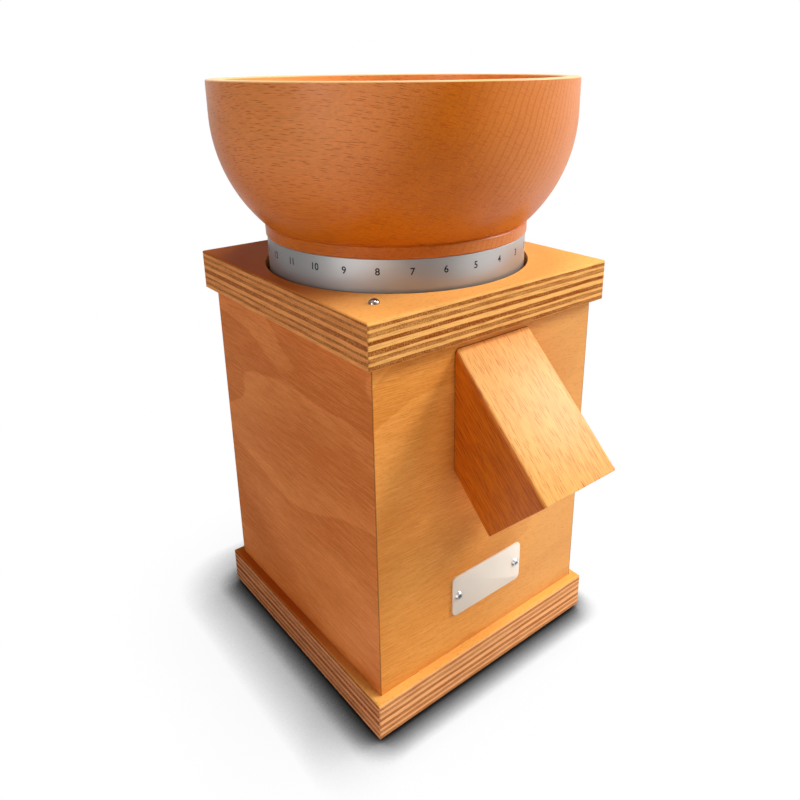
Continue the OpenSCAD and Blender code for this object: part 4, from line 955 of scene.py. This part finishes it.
# ---- Marks on the switch's rocker ----

ROCKER_TILT = math.radians(10)
ROCKER_HALF_H = 6.8 * MM
ROCKER_MID_OUT = 3 * MM
ROCKER_END_OUT = 4.2 * MM
# each half of the rocker's face rises from its middle to its end
ROCKER_SLOPE = math.atan((ROCKER_END_OUT - ROCKER_MID_OUT) / ROCKER_HALF_H)
ROCKER_AXIS_IN = 3 * MM
MARK_UP = 3.9 * MM
MARK_H = 2.6 * MM
MARK_W = 0.55 * MM
MARK_OUT = 0.02 * MM


def switch_marks():
    """The marks on the rocker: a ring on its upper half for off, and a bar on its lower half for on."""
    middle = (switch_low + switch_high) / 2
    axis = Matrix.Translation((middle.x, switch_high.y - ROCKER_AXIS_IN, middle.z))
    tilt = axis @ Matrix.Rotation(ROCKER_TILT, 4, "X")
    bm = bmesh.new()
    outer = arc((0, 0), MARK_H / 2, 0, 360, 32)[:-1]
    inner = arc((0, 0), MARK_H / 2 - MARK_W, 0, 360, 32)[:-1]
    bar = [(x * MARK_W / 2, z * MARK_H / 2) for x, z in ((1, 1), (-1, 1), (-1, -1), (1, -1))]
    for half, loops in ((1, (outer, inner)), (-1, (bar,))):
        out = Matrix.Translation((0, ROCKER_MID_OUT + MARK_OUT, 0))
        lean = Matrix.Rotation(-half * ROCKER_SLOPE, 4, "X")
        put = tilt @ out @ lean @ Matrix.Translation((0, 0, half * MARK_UP))
        rings = [[bm.verts.new(put @ Vector((x, 0, z))) for x, z in loop] for loop in loops]
        if len(rings) == 1:
            bm.faces.new(rings[0])
            continue
        for i in range(len(outer)):
            n = (i + 1) % len(outer)
            bm.faces.new((rings[0][i], rings[0][n], rings[1][n], rings[1][i]))
    for face in bm.faces:
        face.normal_update()
        if face.normal.y < 0:
            face.normal_flip()
    piece("switch_marks", raw_mesh(bm, "switch_marks"), PAINT, "rocker", "black_plastic")


switch_marks()

# ---- Nameplate, left bare ----

BADGE_CORNER_R = 3 * MM
BADGE_BEVEL = 0.25 * MM


def nameplate():
    size = badge_high - badge_low
    centre = (badge_low + badge_high) / 2
    turn = Matrix.Translation((0, badge_high.y, centre.z)) @ Matrix.Rotation(math.radians(90), 4, "X")
    bm = prism(rounded_outline(size.x, size.z, BADGE_CORNER_R, 8), 0, size.y, turn)
    front = [e for e in bm.edges if all(abs(v.co.y - badge_low.y) < WELD for v in e.verts)]
    bmesh.ops.bevel(bm, geom=front, offset=BADGE_BEVEL, segments=2, affect="EDGES", profile=0.5)
    mesh = as_mesh(bm, "nameplate_bare", 35)
    piece("nameplate_bare", mesh, BADGE, "case", "plate_metal", "nameplate")


nameplate()

# ---- Pressure springs, held between the chamber's lugs and the stone carrier ----


def pressure_springs():
    mesh = as_mesh(node_shape("pressure_springs"), "pressure_springs_live", 65)
    mesh.materials.append(STEEL)
    obj = placed("pressure_springs_live", mesh)
    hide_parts("pressure_springs")
    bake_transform(obj)


pressure_springs()

# ---- Stage and light ----

FLOOR_REACH = 6.0
FLOOR_WHITE = 0.8
# what polished surfaces see: a white room, darker on two sides, brighter on one, and with a bright card
# on another. Each has its direction, its level, and the cosines to it where it starts and is full.
ROOM = [
    ((-0.5, -0.866, 0), 0.28, (0.5, 0.95)),
    ((-0.906, -0.423, 0), 1.9, (0.84, 0.98)),
    ((-0.77, 0.64, 0), 0.35, (0.6, 0.95)),
    ((0.86, -0.5, 0), 1.5, (0.6, 0.95)),
]
# reach, power, and azimuth and elevation of the open sky that each shadow is cast from
SHADOWS = [(16 * MM, 3.5, 0, 90), (42 * MM, 1.9, -55, 28), (90 * MM, 0.12, -40, 22)]


def toward(azimuth, elevation):
    """The direction at this azimuth and elevation, in degrees."""
    turn, rise = math.radians(azimuth), math.radians(elevation)
    return Vector((math.cos(rise) * math.cos(turn), math.cos(rise) * math.sin(turn), math.sin(rise)))


def room_level(m, place, base):
    """How bright the room is in the direction of a place, and base away from all that ROOM lists."""
    outward = m.vector("NORMALIZE", place)
    room = base
    for direction, level, edge in ROOM:
        near = m.between(m.vector("DOT_PRODUCT", outward, direction), *edge)
        room = m.mix_numbers(near, room, level)
    return room


def seen_by_eye(m, path):
    """1 where the camera sees the surface, also through glass."""
    return m.math("MAXIMUM", path["Is Camera Ray"], path["Is Transmission Ray"])


def stage():
    """A white floor. The eye sees it at the background's white, grey where the mill shades it."""
    corners = [(x * FLOOR_REACH, y * FLOOR_REACH, floor_z) for x, y in ((-1, -1), (1, -1), (1, 1), (-1, 1))]
    floor = bpy.data.meshes.new("studio_floor")
    floor.from_pydata(corners, [], [(0, 1, 2, 3)])
    obj = placed("studio_floor", floor)
    m = Material("studio_floor")
    path = m.add("ShaderNodeLightPath").outputs
    light = 1.0
    for reach, power, azimuth, elevation in SHADOWS:
        sky = m.joined(*toward(azimuth, elevation))
        open_sky = m.add("ShaderNodeAmbientOcclusion", {"Distance": reach, "Normal": sky}, samples=8)
        light = m.math("MULTIPLY", m.math("POWER", open_sky.outputs["AO"], power), light)
    mirrored = m.math("MULTIPLY", light, room_level(m, m.place, FLOOR_WHITE))
    level = m.mix(path["Is Glossy Ray"], m.mix(light, (0, 0, 0), (1, 1, 1)), mirrored)
    paper = m.add("ShaderNodeBsdfDiffuse", {"Color": 3 * (FLOOR_WHITE,)}).outputs[0]
    glow = m.add("ShaderNodeEmission", {"Color": level}).outputs[0]
    glows = m.math("MAXIMUM", seen_by_eye(m, path), path["Is Glossy Ray"])
    shader = m.add("ShaderNodeMixShader", {0: glows, 1: paper, 2: glow}).outputs[0]
    floor.materials.append(m.end("ShaderNodeOutputMaterial", shader))


AIM = Vector((0, 0, 170)) * MM
LAMP_FAR = 2.0
LAMP_SIZE = 0.7
# name, azimuth and elevation in degrees from where the light comes, watts
LAMPS = [
    ("lamp_right", -30, 32, 32.0),
    ("lamp_above", 0, 85, 17.0),
    ("lamp_front", -75, 60, 14.5),
    ("lamp_left", 190, 15, 8.5),
]
ROOM_FILL = 0.03


def soft_lamp(name, azimuth, elevation, watts):
    data = bpy.data.lights.new(name, "AREA")
    data.shape = "DISK"
    data.size = LAMP_SIZE
    data.energy = watts
    ray = toward(azimuth, elevation)
    aim = (-ray).to_track_quat("-Z", "Y").to_matrix().to_4x4()
    placed(name, data).matrix_world = Matrix.Translation(AIM + LAMP_FAR * ray) @ aim


def world():
    """The room: white to the eye, a faint even fill, and in reflections white with the sides of ROOM."""
    m = Nodes(bpy.data.worlds.new("studio"))
    path = m.add("ShaderNodeLightPath").outputs
    mirrored = room_level(m, m.coordinates["Generated"], 1.0)
    unseen = m.mix_numbers(path["Is Glossy Ray"], ROOM_FILL, mirrored)
    strength = m.mix_numbers(seen_by_eye(m, path), unseen, 1.0)
    background = m.add("ShaderNodeBackground", {"Color": (1, 1, 1), "Strength": strength}).outputs[0]
    bpy.context.scene.world = m.end("ShaderNodeOutputWorld", background)


stage()
world()
for lamp in LAMPS:
    soft_lamp(*lamp)
bpy.context.scene.view_settings.view_transform = "Standard"
